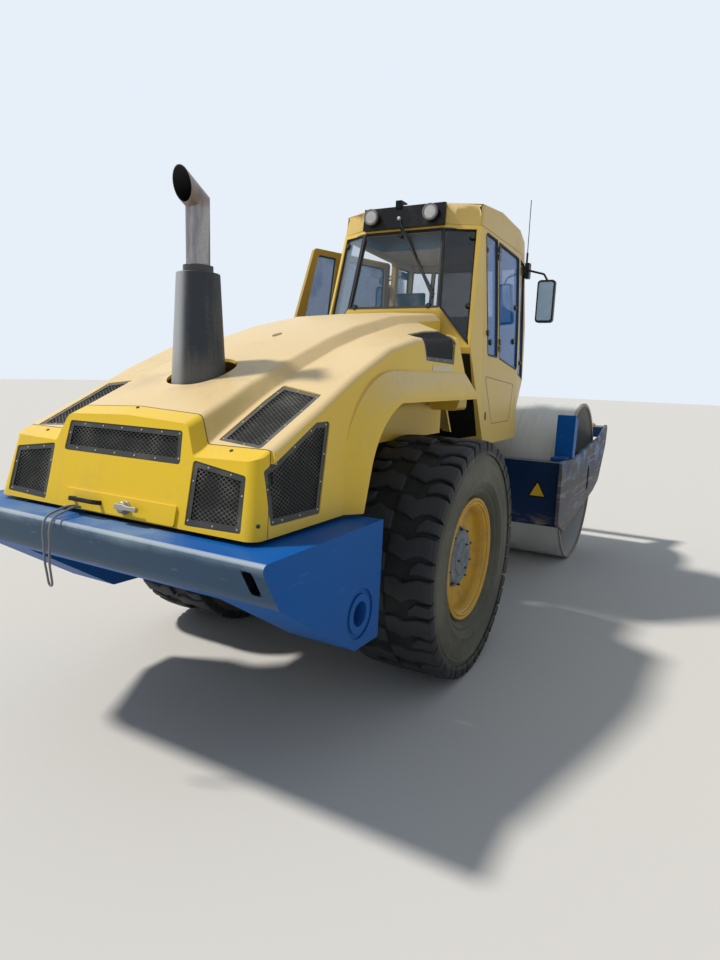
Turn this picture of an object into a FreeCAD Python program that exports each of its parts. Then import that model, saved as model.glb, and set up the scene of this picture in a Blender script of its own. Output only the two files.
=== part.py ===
import FreeCAD, Part
import math
import os

# A single-drum road roller: a two-wheel rear frame with engine and cab, joined at a centre pivot
# to a front frame that carries the drum. Millimetres. x runs forward from the rear axle, y to the
# left and z up from the ground. The finished pieces are moved so that x starts at mid length.

vector = FreeCAD.Vector

# Driving dimensions: the whole machine
wheelbase = 3120.0
rearReach = 1900.0
frontReach = 1050.0
pivotToBeam = 452.0

# Rear wheels and axle
tyreRadius = 717.0
tyreWidth = 520.0
tyreWall = 34.0
lugHeight = 26.0
lugCount = 20
wheelTrack = 1660.0
beadRadius = 318.0
flangeRadius = 368.0
rimHalfWidth = 223.0
discOffset = 112.0
discThickness = 20.0
hubRadius = 168.0
spindleRadius = 88.0
brakeRadius = 232.0
axleTube = 118.0

# Drum and its mounting
drumRadius = 784.0
drumSideGap = 54.0
drumWall = 30.0
headInset = 190.0
headThickness = 26.0
drumShaft = 90.0

# Front frame
sideWidth = 2300.0
sideThickness = 30.0
beamGap = 284.0
beamDepth = 150.0
beamLow = 512.0
beamHigh = 1080.0
noseBeamDepth = 150.0
rollHeight = 780.0
rollPin = 70.0

# Rear frame
bumperTop = 1130.0
bumperLow = 560.0
bumperWidth = 1914.0
bumperPocket = 1230.0
bumperRearWall = 180.0
bumperFront = 985.0
railInner = 300.0
railThickness = 45.0
railLow = 640.0
railHigh = 1030.0
yokeGap = 210.0
earLow = 470.0
earHigh = 990.0
earThickness = 60.0
pivotPin = 45.0

# Steering cylinders
cylinderBase = 760.0
cylinderPin = 18.0
cylinderZ = 830.0
armReach = 230.0
barrelRadius = 42.0
rodRadius = 22.0

# Engine and exhaust
mufflerX = -1175.0
mufflerTop = 2240.0
engineHigh = 1470.0
pipeRadius = 57.0
pipeRise = 326.0
tipRise = 30.0
tipReach = 100.0
mouthLean = 15.0

# Hood
hoodWall = 16.0
hoodLow = 1150.0
hoodFront = 850.0
seamDepth = 78.0
tailX = -1731.0
tailZ = 1169.0
tailLean = 0.24
tailHalf = 799.0
tailTaper = 0.149
tailCorner = 60.0
padDepth = 10.0
archTop = 1668.0
archLip = 868.0
grilleDepth = 6.0
grilleThickness = 7.0
hingeX = 792.0
hingeZ = 2180.0
hingePin = 9.0

# Cab
cabWall = 42.0
cabFloor = 1270.0
floorThickness = 40.0
roofLow = 2890.0
roofHigh = 3052.0
roofSlope = 0.042
glassThickness = 6.0
glassDepth = 10.0
mirrorX = 2290.0
doorAngle = 27.0
doorGap = 7.0
doorHinge = (2106.0, 676.0)
doorPin = 6.0
hingeHeight = 60.0
hingeHeights = (1480.0, 2640.0)

# Pull cord looped over the rear edge of the bumper
cordRadius = 5.0

# Clearances
runningGap = 0.3
fitGap = 0.3

# Places that follow from the sizes above
hubHeight = tyreRadius
wheelY = wheelTrack / 2.0
sideY = sideWidth / 2.0
sideInner = sideY - sideThickness
frameFront = wheelbase + frontReach
beamRear = wheelbase - drumRadius - beamGap
pivotFromAxle = beamRear - pivotToBeam
drumWidth = 2.0 * (sideInner - drumSideGap)
bumperY = bumperWidth / 2.0
pocketY = bumperPocket / 2.0
bumperInner = -rearReach + bumperRearWall
railOuter = railInner + railThickness
yokeX = pivotFromAxle - yokeGap
rearOfAll, frontOfAll, sideOfAll = -3000.0, 6000.0, 1500.0

axisWay = {"x": vector(1, 0, 0), "y": vector(0, 1, 0), "z": vector(0, 0, 1)}


def box(x, y, z):
    return Part.makeBox(x[1] - x[0], y[1] - y[0], z[1] - z[0], vector(x[0], y[0], z[0]))


def cylinder(axis, across, radius, low, high):
    start = {"x": (low,) + tuple(across), "y": (across[0], low, across[1]), "z": tuple(across) + (low,)}[axis]
    return Part.makeCylinder(radius, high - low, vector(*start), axisWay[axis])


def rodBetween(start, end, radius):
    start, end = vector(*start), vector(*end)
    return Part.makeCylinder(radius, (end - start).Length, start, end - start)


def lift(plane, a, b, c):
    return {"xz": vector(a, c, b), "xy": vector(a, b, c), "yz": vector(c, a, b)}[plane]


# A closed outline of points (a, b) or (a, b, corner radius) in a plane that lies c along its third axis
def outline(plane, points, c):
    corners = [(lift(plane, p[0], p[1], c), p[2] if len(p) > 2 else 0.0) for p in points]
    stops = []
    count = len(corners)
    for i in range(count):
        here, radius = corners[i]
        if radius == 0.0:
            stops.append((here, here, here))
            continue
        back = (corners[i - 1][0] - here).normalize()
        on = (corners[(i + 1) % count][0] - here).normalize()
        half = back.getAngle(on) / 2.0
        run = radius / math.tan(half)
        middle = (back + on).normalize()
        stops.append((here + back * run, here + middle * (radius / math.sin(half) - radius), here + on * run))
    edges = []
    for i in range(count):
        first, middle, last = stops[i]
        following = stops[(i + 1) % count][0]
        if (last - first).Length > 0.01:
            edges.append(Part.Arc(first, middle, last).toShape())
        if (following - last).Length > 0.01:
            edges.append(Part.LineSegment(last, following).toShape())
    return Part.Wire(edges)


def slab(plane, points, low, high):
    return Part.Face(outline(plane, points, low)).extrude(lift(plane, 0, 0, high - low))


def loft(wires):
    return Part.makeLoft(wires, True, True)


def mirrored(shape):
    return shape.mirror(vector(0, 0, 0), vector(0, 1, 0))


def bothSides(shape):
    return shape.fuse(mirrored(shape))


# A closed outline of (radius, y, corner radius) points turned about an axis along y through (x, z)
def turned(points, x, z):
    face = Part.Face(outline("xy", [(x + p[0],) + tuple(p[1:]) for p in points], z))
    return face.revolve(vector(x, 0, z), vector(0, 1, 0), 360)


def shiftedY(points, y, side):
    return [(p[0], (p[1] + y) * side) + tuple(p[2:]) for p in points]


# Wheels

def makeTyre(side):
    half = tyreWidth / 2.0
    bead = rimHalfWidth - 26.0
    crown = tyreRadius - lugHeight
    tread = crown - tyreWall
    wall = [(beadRadius + fitGap, bead), (flangeRadius + 4.0, bead + 2), (flangeRadius + 30.0, half - 38),
            (flangeRadius + 72.0, half - 8), (flangeRadius + 112.0, half), (flangeRadius + 192.0, half),
            (crown - 66.0, half - 6), (crown - 28.0, half - 22), (crown, half - 54)]
    lining = [(beadRadius - 5.0, bead - tyreWall), (flangeRadius + 62.0, half - tyreWall - 11),
              (flangeRadius + 102.0, half - tyreWall), (flangeRadius + 192.0, half - tyreWall),
              (tread - 37.0, half - tyreWall - 11), (tread, half - tyreWall - 36)]
    outer, inner = [[(r, -y) for r, y in rows] + [(r, y) for r, y in reversed(rows)] for rows in (wall, lining)]
    body = turned(shiftedY(outer, wheelY, side), 0, hubHeight).fuse(makeLugs(side))
    return body.cut(turned(shiftedY(inner, wheelY, side), 0, hubHeight))


# One tread lug in plan: distance along the tread, distance from the tyre's middle
lugPlan = [(-46, 8), (-72, 118), (-58, 262), (40, 262), (26, 118), (44, 8)]


# Bent lugs on each half of the tread, the halves half a pitch apart
def makeLugs(side):
    lugs = []
    crown = tyreRadius - lugHeight
    top = math.sqrt(tyreRadius ** 2 - max(abs(p[0]) for p in lugPlan) ** 2)
    for way, start in ((1, 0.0), (-1, 180.0 / lugCount)):
        plan = [(p[0] * way, p[1] * way) for p in lugPlan]
        lug = slab("xy", plan, crown - 46.0, top)
        for i in range(lugCount):
            copy = lug.copy()
            copy.rotate(vector(0, 0, 0), vector(0, 1, 0), start + 360.0 / lugCount * i)
            copy.translate(vector(0, wheelY, hubHeight))
            lugs.append(copy if side > 0 else mirrored(copy))
    return lugs


def makeRim(side):
    barrel = beadRadius - 12.0
    disc = discOffset
    nave = disc + 54.0
    bore = spindleRadius + runningGap
    points = [(barrel, -rimHalfWidth), (flangeRadius, -rimHalfWidth), (flangeRadius, -rimHalfWidth + 22.0),
              (beadRadius, -rimHalfWidth + 25.0), (beadRadius, rimHalfWidth - 25.0),
              (flangeRadius, rimHalfWidth - 22.0), (flangeRadius, rimHalfWidth),
              (flangeRadius - 14.0, rimHalfWidth), (barrel, rimHalfWidth - 40.0),
              (barrel, disc + discThickness), (hubRadius + 14.0, disc + discThickness),
              (hubRadius + 8.0, nave - 10.0), (hubRadius - 20.0, nave), (0.0, nave + 8.0), (0.0, nave - 14.0),
              (bore, nave - 14.0), (bore, disc), (barrel - 12.0, disc), (barrel - 12.0, -rimHalfWidth + 8.0)]
    return turned(shiftedY(points, wheelY, side), 0, hubHeight)


def makeRearAxle():
    brakeEnd = wheelY + discOffset - 12.0
    spindleEnd = wheelY + discOffset + 40.0
    inboard = wheelY - tyreWidth / 2.0
    pieces = [cylinder("y", (0, hubHeight), axleTube, 0, inboard),
              cylinder("y", (0, hubHeight), brakeRadius, inboard, inboard + 80.0),
              cylinder("y", (0, hubHeight), brakeRadius - 50.0, inboard + 80.0, brakeEnd),
              cylinder("y", (0, hubHeight), spindleRadius, brakeEnd, spindleEnd)]
    arm = pieces[0].fuse(pieces[1:])
    casing = Part.makeSphere(205.0, vector(0, 0, hubHeight)).common(
        box((-230, 230), (-230, 230), (hubHeight - 190, hubHeight + 190)))
    nose = cylinder("x", (0, hubHeight), 95.0, 150.0, 330.0)
    return bothSides(arm).fuse([casing, nose])


# Rear frame

def makeBumper():
    corner = -rearReach + 115.0
    side = [(-rearReach, bumperTop, 24), (corner, bumperTop - 195.0, 20), (-1220.0, bumperLow + 8.0, 30),
            (-bumperFront - 15.0, bumperLow, 12), (-bumperFront - 6.0, 860.0), (-bumperFront, bumperTop, 8)]
    body = slab("xz", side, -bumperY, bumperY)
    pocket = box((bumperInner, 0), (-pocketY, pocketY), (bumperLow - 50, bumperTop + 50))
    slot = slab("yz", [(852, 985, 24), (902, 985, 24), (902, 1095, 24), (852, 1095, 24)],
                -rearReach - 20, -rearReach + 120)
    ring = cylinder("y", (-1180, 730), 116.0, bumperY - 10.0, bumperY + 10).cut(
        cylinder("y", (-1180, 730), 92.0, bumperY - 20, bumperY + 20))
    eye = cylinder("y", (-1180, 730), 58.0, pocketY - 20, bumperY + 20)
    holes = [slot, ring, eye]
    return body.cut([pocket] + holes + [mirrored(hole) for hole in holes])


def makeRail():
    points = [(bumperInner, 940.0), (bumperInner, railHigh), (yokeX, railHigh), (yokeX, 480.0),
              (yokeX - 120.0, 480.0, 60), (yokeX - 400, railLow, 120), (-1000.0, railLow, 60),
              (-1300.0, 710.0, 120)]
    rail = slab("xz", points, railInner, railOuter)
    return rail.cut(cylinder("y", (0, hubHeight), axleTube + fitGap, railInner - 10, railOuter + 10))


# Rails, cross pieces, the yoke's wall with windows for the steering cylinders, and its two ears
def makeChassis():
    wall = box((yokeX, yokeX + 40), (-railOuter, railOuter), (earLow, earHigh + earThickness))
    windows = bothSides(box((yokeX - 10, yokeX + 50), (85, 292), (cylinderZ - 75, cylinderZ + 75)))
    rear = box((-1500, -1440), (-railOuter, railOuter), (railLow + 170, railHigh - 50))
    base = box((cylinderBase - 90, cylinderBase - 44), (-railOuter, railOuter), (740, 960))
    frame = bothSides(makeRail()).fuse([wall, rear, base]).cut(windows)
    tip = pivotFromAxle + 90.0
    ears = [slab("xy", [(yokeX + 20, -200), (tip, -92, 88), (tip, 92, 88), (yokeX + 20, 200)], low, low + earThickness)
            for low in (earLow, earHigh)]
    pin = cylinder("z", (pivotFromAxle, 0), pivotPin, earLow, earHigh + earThickness + 14)
    lugs = [box((cylinderBase - 50, cylinderBase + 22), (armReach - 36, armReach + 36), (low, low + 16))
            for low in (cylinderZ - 44, cylinderZ + 28)]
    lugs.append(cylinder("z", (cylinderBase, armReach), cylinderPin, cylinderZ - 52, cylinderZ + 52))
    return frame.fuse(ears + [pin] + lugs + [mirrored(lug) for lug in lugs])


def makeEngine():
    body = box((-1250, -330), (-260, 260), (railHigh - 40.0, engineHigh))
    feet = [box((x, x + 90), (-railOuter, railOuter), (railHigh, railHigh + 24)) for x in (-1150, -480)]
    return body.fuse(feet)


def makeRadiator():
    return box((-1590, -1500), (-540, 540), (bumperTop + 20, 1450)).fuse(
        box((-1590, -1500), (-railOuter, railOuter), (railHigh, 1500)))


# Upright frame behind the cab that carries the hood's hinge
def makeBulkhead():
    shelf = box((690, 775), (-395, 395), (railHigh, railHigh + 20))
    wall = box((755, 775), (-395, 395), (railHigh + 20, 2010))
    ear = slab("xz", [(756, 1900), (hingeX - 24, hingeZ + 24, 23), (hingeX + 24, hingeZ + 24, 23),
                      (hingeX + 24, 1960, 20), (774, 1900)], 290, 318)
    pin = cylinder("y", (hingeX, hingeZ), hingePin, 286, 352)
    return wall.fuse([shelf, ear, mirrored(ear), pin, mirrored(pin)])


def makeMuffler():
    low = engineHigh + 30.0
    can = Part.makeCone(144, 104, mufflerTop - low, vector(mufflerX, 0, low))
    return can.fuse(cylinder("z", (mufflerX, 0), 60, engineHigh, low + 5))


# Tail pipe: a clamp, an upright run and a short mitred run leaning back, slashed at its mouth
def makeExhaust():
    mitre = mufflerTop + pipeRise
    rise, half = math.radians(tipRise), math.radians((90.0 - tipRise) / 2.0)
    lean = math.radians(mouthLean)
    back = vector(-math.cos(rise), 0, math.sin(rise))
    bend = vector(mufflerX, 0, mitre)
    along, across = 600.0 * math.cos(half), 600.0 * math.sin(half)
    clamp = cylinder("z", (mufflerX, 0), 72, mufflerTop, mufflerTop + 35)
    pipe = cylinder("z", (mufflerX, 0), pipeRadius, mufflerTop + 30, mitre + 200)
    tip = Part.makeCylinder(pipeRadius, 600, bend - back * 200, back)
    bore = Part.makeCylinder(pipeRadius - 4, 400, bend, back)
    above = slab("xz", [(bend.x - along, mitre - across), (bend.x + along, mitre + across),
                        (bend.x + along, mitre + 900), (bend.x - along, mitre + 900)], -200, 200)
    middle = bend + back * (tipReach / math.cos(rise))
    up = vector(-math.sin(lean), 0, math.cos(lean)) * 400.0
    behind = slab("xz", [(middle.x + up.x, middle.z + up.z), (middle.x - up.x, middle.z - up.z),
                         (middle.x - 800, middle.z - up.z), (middle.x - 800, middle.z + up.z)], -200, 200)
    return clamp.fuse([pipe.cut(above), tip.common(above).cut([behind, bore])])


# Hood stations. Columns: x, spine edge z, spine foot z, crease z, crease y, skirt y
hoodStations = [
    (-1800.0, 1500.0, 1370.0, 1385.0, 762.0, 797.0),
    (-1550.0, 1600.0, 1497.0, 1498.0, 770.0, 804.0),
    (-1240.0, 1733.0, 1657.0, 1641.0, 771.0, 809.0),
    (-960.0, 1840.0, 1785.0, 1780.0, 771.0, 814.0),
    (-590.0, 1975.0, 1918.0, 1932.0, 770.0, 824.0),
    (-300.0, 2062.0, 2000.0, 1992.0, 772.0, 826.0),
    (170.0, 2162.0, 2108.0, 2022.0, 772.0, 826.0),
    (hoodFront, 2236.0, 2175.0, 2060.0, 772.0, 826.0),
]
spineY = 372.0
footY = 430.0


def hoodWire(station, wall, low):
    x, spine, foot, crease, creaseY, skirtY = station
    half = [(skirtY - wall, low), (creaseY - wall, crease - wall, 40.0 - wall * 0.5),
            (footY - wall, foot - wall, 22.0), (spineY - wall, spine - wall, 44.0 - wall * 0.5)]
    points = half + [(0.0, spine + 14.0 - wall)] + [(-p[0],) + tuple(p[1:]) for p in reversed(half)]
    return outline("yz", points, x)


# Everything behind a plane that lies a depth in front of the raked tail face
def tailCutter(depth):
    low, high = 900.0, 1900.0
    return slab("xz", [(rearOfAll, low), (tailAt(low) + depth, low), (tailAt(high) + depth, high),
                       (rearOfAll, high)], -sideOfAll, sideOfAll)


# The same, with the tail's upright corners rounded off too
def tailShaper(depth):
    rows = []
    for z in (900.0, 1900.0):
        face, half = tailAt(z) + depth, tailHalf - tailTaper * (z - tailZ) - depth
        round = tailCorner - depth
        side = [(rearOfAll, sideOfAll), (face + round + 25.0, sideOfAll), (face + round + 25.0, half),
                (face, half, round)]
        rows.append(outline("xy", side + [(p[0], -p[1]) + tuple(p[2:]) for p in reversed(side)], z))
    return loft(rows)


def tailAt(z):
    return tailX + tailLean * (z - tailZ)


# The hood's front corner is cut off at a slant, leaning forward towards its foot
def cornerCutter(depth):
    rows = []
    inner = 420.0 - depth
    for z, outer in ((1300.0, 640.0 - depth), (2500.0, -80.0 - depth)):
        plan = [(outer, 950.0), (outer + 330.0, inner), (outer + 1500.0, inner), (outer + 1500.0, 950.0)]
        rows.append(outline("xy", plan, z))
    return loft(rows)


def archOutline(grow, low):
    leg = -855.0 - grow
    return [(leg - 0.31 * (archTop - low), low), (leg, archTop + grow, 450.0 + grow),
            (hoodFront + 400.0, archTop + grow), (hoodFront + 400.0, low)]


def creaseOutline(inset, low):
    top = archTop + 144.0 - inset
    return [(-1128.0 + inset - 0.16 * (1170.0 - low), low), (-1008.0 + inset, top, 520.0 - inset),
            (hoodFront + 400.0, top), (hoodFront + 400.0, low)]


# The band round the wheel arch, swelling out from its crease to its lip
def archFlare(inset, low):
    return loft([outline("xz", creaseOutline(inset, low), 700.0 - inset),
                 outline("xz", creaseOutline(inset, low), 789.0 - inset),
                 outline("xz", archOutline(16.0 - inset, low), archLip - inset)])


def hoodBody(wall, low):
    body = loft([hoodWire(station, wall, low) for station in hoodStations])
    side = archFlare(wall, low)
    corner = cornerCutter(wall)
    return body.fuse([side, mirrored(side)]).cut([tailShaper(wall), corner, mirrored(corner)])


# Grille openings on the left: plane, outline, reach along its third axis, and an outline in plan where
# the opening wraps over the shoulder
grilles = {
    "rear": ("yz", [(440, 1166, 12), (728, 1174, 12), (712, 1390, 14), (434, 1426, 14)], (-1800, -1600)),
    "top": ("xy", [(-1545, 456, 12), (-1575, 700, 12), (-1140, 700, 12), (-1090, 456, 12)], (1440, 1800)),
    "side": ("xz", [(-1632, 1196, 12), (-1632, 1408, 16), (-1290, 1580, 24), (-1186, 1582, 16),
                    (-1298, 1190, 12)], (740, 860)),
    "vent": ("xz", [(-180, 1876, 10), (240, 1864, 10), (267, 1985), (480, 1988), (480, 2200), (-270, 2200),
                    (-270, 1992), (-215, 1989)], (600, 860),
             [(-216, 900), (-216, 776), (-70, 590), (434, 590), (268, 776), (268, 900)]),
}
tailGrille = ("yz", [(-365, 1400, 14), (365, 1400, 14), (352, 1536, 14), (-352, 1536, 14)], (-1760, -1560))


def trimmed(points, gap):
    turn = sum(p[0] * q[1] - q[0] * p[1] for p, q in zip(points, points[1:] + points[:1]))
    moved = insetPlan([p[:2] for p in points], math.copysign(gap, turn))
    return [m + tuple(p[2:]) for m, p in zip(moved, points)]


def opening(spec, gap):
    plane, points, reach = spec[:3]
    cut = slab(plane, trimmed(points, gap), reach[0], reach[1])
    for plan in spec[3:]:
        cut = cut.common(slab("xy", trimmed(plan, gap), 1000.0, 2600.0))
    return cut


def hingeKnuckle():
    knuckle = cylinder("y", (hingeX, hingeZ), 20, 322, 350).fuse(
        box((hingeX - 20, hingeX + 20), (322, 350), (hingeZ, hingeZ + 40)))
    return knuckle.cut(cylinder("y", (hingeX, hingeZ), hingePin + runningGap, 300, 360))


def hoodPieces():
    shell = hoodBody(0.0, hoodLow).cut(hoodBody(hoodWall, hoodLow - 80.0))
    arch = slab("xz", archOutline(0.0, hoodLow - 60.0), 560, 1000)
    stack = slab("xy", [(mufflerX - 146, -162, 150), (mufflerX + 190, -162, 150), (mufflerX + 190, 162, 150),
                        (mufflerX - 146, 162, 150)], 1500, 2000)
    below = box((-840, hoodFront + 60), (-1000, 1000), (1000, 1392))
    front, back = hoodBody(grilleDepth, hoodLow - 10.0), hoodBody(grilleDepth + grilleThickness, hoodLow - 40.0)
    holes = [arch, mirrored(arch), stack, below, opening(tailGrille, 0)]
    panels = [opening(tailGrille, fitGap).cut(back).common(front)]
    for spec in grilles.values():
        holes += [opening(spec, 0), mirrored(opening(spec, 0))]
        panel = opening(spec, fitGap).cut(back).common(front)
        panels += [panel, mirrored(panel)]
    shell = shell.cut(holes)
    knuckle = hingeKnuckle()
    tail = tailCutter(seamDepth)
    pad = slab("yz", [(-392, 1157, 10), (298, 1157, 10), (298, 1238, 10), (-392, 1238, 10)], -1900, -1600)
    pad = pad.common(aheadOfTail(padDepth)).cut(aheadOfTail(-2.0))
    return {"hood_main": shell.cut(tail).fuse([knuckle, mirrored(knuckle)]),
            "hood_tail": shell.common(tail).fuse(pad),
            "hood_grilles": Part.makeCompound(panels)}


def makeLiners():
    points = [(530, 1396), (546, 1396), (546, 1651, 80), (866, 1651), (866, archTop - fitGap),
              (530, archTop - fitGap, 96)]
    run = slab("yz", points, -820, 640).cut(cornerCutter(hoodWall + fitGap))
    run = run.common(slab("xz", archOutline(-fitGap, hoodLow - 60.0), 500, 900))
    bulge = slab("yz", [(590, 1572, 30), (770, 1572, 40), (796, 1655), (560, 1655)], 350, 640)
    bulge = bulge.cut(cornerCutter(hoodWall + 30.0))
    run = run.fuse(bulge)
    return Part.makeCompound([run, mirrored(run)])


def makeTailHandle():
    z = 1196.0
    seat = tailAt(z) - padDepth
    posts = [rodBetween((seat + 3, y, z), (seat - 40, y, z), 7) for y in (52, 222)]
    bar = rodBetween((seat - 40, 44, z), (seat - 40, 230, z), 8)
    return bar.fuse(posts).cut(aheadOfTail(padDepth))


def makeTailLatch():
    z = 1196.0
    seat = tailAt(z) - padDepth
    boss = rodBetween((seat + 6, -105, z), (seat - 26, -105, z), 24)
    lever = box((seat - 42, seat - 26), (-200, -90), (z - 12, z + 12))
    return boss.fuse(lever).cut(aheadOfTail(padDepth))


# Everything in front of a plane that lies a depth behind the raked tail face
def aheadOfTail(depth):
    low, high = 900.0, 1900.0
    return slab("xz", [(tailAt(low) - depth, low), (0, low), (0, high), (tailAt(high) - depth, high)],
                -sideOfAll, sideOfAll)


# The cord leaves the tail beside the handle, drops over the bumper's edge and doubles back up
cordRoute = [(-1773, 214, 1171), (-1838, 203, 1161), (-1902, 190, 1150), (-1926, 184, 1104), (-1923, 183, 1036),
             (-1929, 176, 962), (-1924, 168, 898), (-1920, 166, 851), (-1920, 141, 851), (-1925, 140, 896),
             (-1930, 143, 960), (-1924, 140, 1035), (-1928, 138, 1104), (-1901, 143, 1151), (-1836, 161, 1160),
             (-1772, 178, 1171)]


# Foot on the tail's raised pad of a line square to it through a point
def tailFoot(point):
    out = vector(-1, 0, tailLean).normalize()
    return point - out * out.dot(point - vector(tailX - padDepth, 0, tailZ))


def makeCord():
    points = [vector(*p) for p in cordRoute]
    points = [tailFoot(points[0])] + points + [tailFoot(points[-1])]
    edges, at = [], points[0]
    for before, here, after in zip(points, points[1:], points[2:]):
        back, on = (before - here), (after - here)
        turn = math.pi - back.getAngle(on)
        run = 0.45 * min(back.Length, on.Length)
        radius = run / math.tan(turn / 2.0)
        back, on = back.normalize(), on.normalize()
        middle = (back + on).normalize() * (radius / math.cos(turn / 2.0) - radius)
        edges += [Part.LineSegment(at, here + back * run).toShape(),
                  Part.Arc(here + back * run, here + middle, here + on * run).toShape()]
        at = here + on * run
        print("cord turn %.0f degrees, radius %.0f" % (math.degrees(turn), radius))
    edges.append(Part.LineSegment(at, points[-1]).toShape())
    path = Part.Wire(edges)
    ring = Part.Wire([Part.makeCircle(cordRadius, points[0], points[1] - points[0])])
    tube = path.makePipeShell([ring], True, False)
    print("cord length %.0f, volume %.0f against %.0f" % (
        path.Length, tube.Volume, path.Length * math.pi * cordRadius ** 2))
    return tube


# Cab plan at each height. Columns: z, then (x, y) of the rear facet's end, the rear corner, the door post,
# the front corner and the nose facet's end
cabLevels = [
    (cabFloor, (1215, 430), (1240, 668), (2118, 668), (2142, 614), (2154, 400)),
    (1780.0, (1016, 418), (1014, 645), (2113, 652), (2420, 612), (2462, 376)),
    (2000.0, (935, 400), (932, 632), (2111, 645), (2434, 606), (2484, 364)),
    (2260.0, (887, 387), (984, 617), (2108, 638), (2438, 598), (2490, 358)),
    (2890.0, (1031, 333), (1150, 584), (2090, 606), (2376, 566), (2436, 334)),
    (3100.0, (1046, 318), (1190, 578), (2084, 596), (2360, 556), (2420, 326)),
]


# An outline with each side moved inward by the same distance, or outward where it runs clockwise
def insetPlan(points, inset):
    count = len(points)
    moved = []
    for i in range(count):
        (ax, ay), (bx, by), (cx, cy) = points[i - 1], points[i], points[(i + 1) % count]
        before, after = math.hypot(bx - ax, by - ay), math.hypot(cx - bx, cy - by)
        n1 = (-(by - ay) / before, (bx - ax) / before)
        n2 = (-(cy - by) / after, (cx - bx) / after)
        scale = inset / (1.0 + n1[0] * n2[0] + n1[1] * n2[1])
        moved.append((bx + (n1[0] + n2[0]) * scale, by + (n1[1] + n2[1]) * scale))
    return moved


def cabLoft(inset):
    rows = []
    for level in cabLevels:
        ring = [(x, -y) for x, y in level[1:]] + [(x, y) for x, y in reversed(level[1:])]
        rows.append(outline("xy", insetPlan(ring, inset), level[0]))
    return loft(rows)


def aboveRoofLine(offset):
    low = roofLow + offset
    return slab("xz", [(600, low + roofSlope * 550), (2900, low - roofSlope * 1750), (2900, 3400), (600, 3400)],
                -sideOfAll, sideOfAll)


# The point on the cab's outer face between plan columns i and i + 1, a share of the way along, at height z
def cabPoint(i, share, z, side):
    low, high = cabLevels[0], cabLevels[1]
    for k in range(1, len(cabLevels) - 1):
        if z > cabLevels[k][0]:
            low, high = cabLevels[k], cabLevels[k + 1]
    t = (z - low[0]) / (high[0] - low[0])
    ends = [tuple(low[1 + c][k] + (high[1 + c][k] - low[1 + c][k]) * t for k in (0, 1)) for c in (i, i + 1)]
    x = ends[0][0] + (ends[1][0] - ends[0][0]) * share
    y = ends[0][1] + (ends[1][1] - ends[0][1]) * share
    return vector(x, y * side, z)


# A flat plate through four corners, its outer face a depth in from them
def plate(corners, depth, thickness, gap):
    middle = (corners[0] + corners[1] + corners[2] + corners[3]) * 0.25
    normal = (corners[1] - corners[0]).cross(corners[3] - corners[0]).normalize()
    if normal.dot(vector(middle.x - 1650.0, middle.y, 0)) < 0:
        normal = normal * -1.0
    flats = [corner - normal * (normal.dot(corner - corners[0]) + depth) for corner in corners]
    middle = (flats[0] + flats[1] + flats[2] + flats[3]) * 0.25
    start = [flat + (middle - flat) * (1.5 * gap / (middle - flat).Length) for flat in flats]
    return Part.Face(Part.makePolygon(start + [start[0]])).extrude(normal * -thickness)


# Windows on one side: face, corners (share, height) from the lower rear corner round to the upper rear one
cabWindows = [
    (0, [(0.03, 2292.0), (0.88, 2040.0), (0.88, 2862.0), (0.03, 2862.0)]),
    (2, [(0.12, 1830.0), (0.86, 1790.0), (0.86, 2790.0), (0.12, 2800.0)]),
    (3, [(0.14, 1640.0), (0.97, 1640.0), (0.97, 2780.0), (0.14, 2786.0)]),
]
# Right side windows in the x, z plane
sideWindows = [
    [(1310, 1965, 30), (1536, 1955, 16), (1500, 2845, 16), (1250, 2858, 30)],
    [(1590, 1950, 16), (2082, 1866, 30), (2060, 2800, 30), (1536, 2838, 16)],
]
doorOutline = [(1300, 1336, 16), (2078, 1336, 16), (2062, 2822, 30), (1222, 2856, 30), (1000, 2000, 60)]
doorWindows = [
    [(1112, 2010, 40), (1380, 1830, 20), (1462, 2790, 20), (1268, 2798, 30)],
    [(1420, 1806, 20), (2018, 1806, 50), (2004, 2766, 50), (1500, 2788, 20)],
]


def centreCorners():
    rows = []
    for column, share, low, high in ((0, 0.0, 2292.0, 2862.0), (3, 1.0, 1640.0, 2780.0)):
        corners = []
        for z, side in ((low, -1), (low, 1), (high, 1), (high, -1)):
            point = cabPoint(column, share, z, side)
            corners.append(vector(point.x, point.y * 0.965, z))
        rows.append(corners)
    return rows


def glassCorners():
    rows = centreCorners()
    for face, points in cabWindows:
        for side in (-1, 1):
            rows.append([cabPoint(face, share, z, side) for share, z in points])
    return rows


def inward(points, gap):
    middleA = sum(p[0] for p in points) / len(points)
    middleB = sum(p[1] for p in points) / len(points)
    return [(p[0] + math.copysign(gap, middleA - p[0]), p[1] + math.copysign(gap, middleB - p[1])) + tuple(p[2:])
            for p in points]


def cabPanels():
    cutters = [plate(corners, -60.0, 160.0, 0.0) for corners in glassCorners()]
    cutters += [slab("xz", points, -900, -400) for points in sideWindows]
    cutters += [slab("xz", doorOutline, 400, 900), aboveRoofLine(0.0)]
    shell = cabLoft(0.0).cut([cabLoft(cabWall)] + cutters)
    rear, front = 1205.0, 2130.0
    regions = {
        "cab_rear_wall": box((500, rear), (-900, 900), (1200, 3200)),
        "cab_front_wall": box((front, 2700), (-900, 900), (1200, 3200)),
        "cab_right_wall": box((rear, front), (-900, 0), (1200, 3200)),
        "cab_left_wall": box((rear, front), (0, 900), (1200, 3200)),
    }
    return {name: shell.common(region) for name, region in regions.items()}


def makeCabFloor():
    return cabLoft(cabWall + fitGap).common(box((500, 2700), (-900, 900), (cabFloor, cabFloor + floorThickness)))


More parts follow.
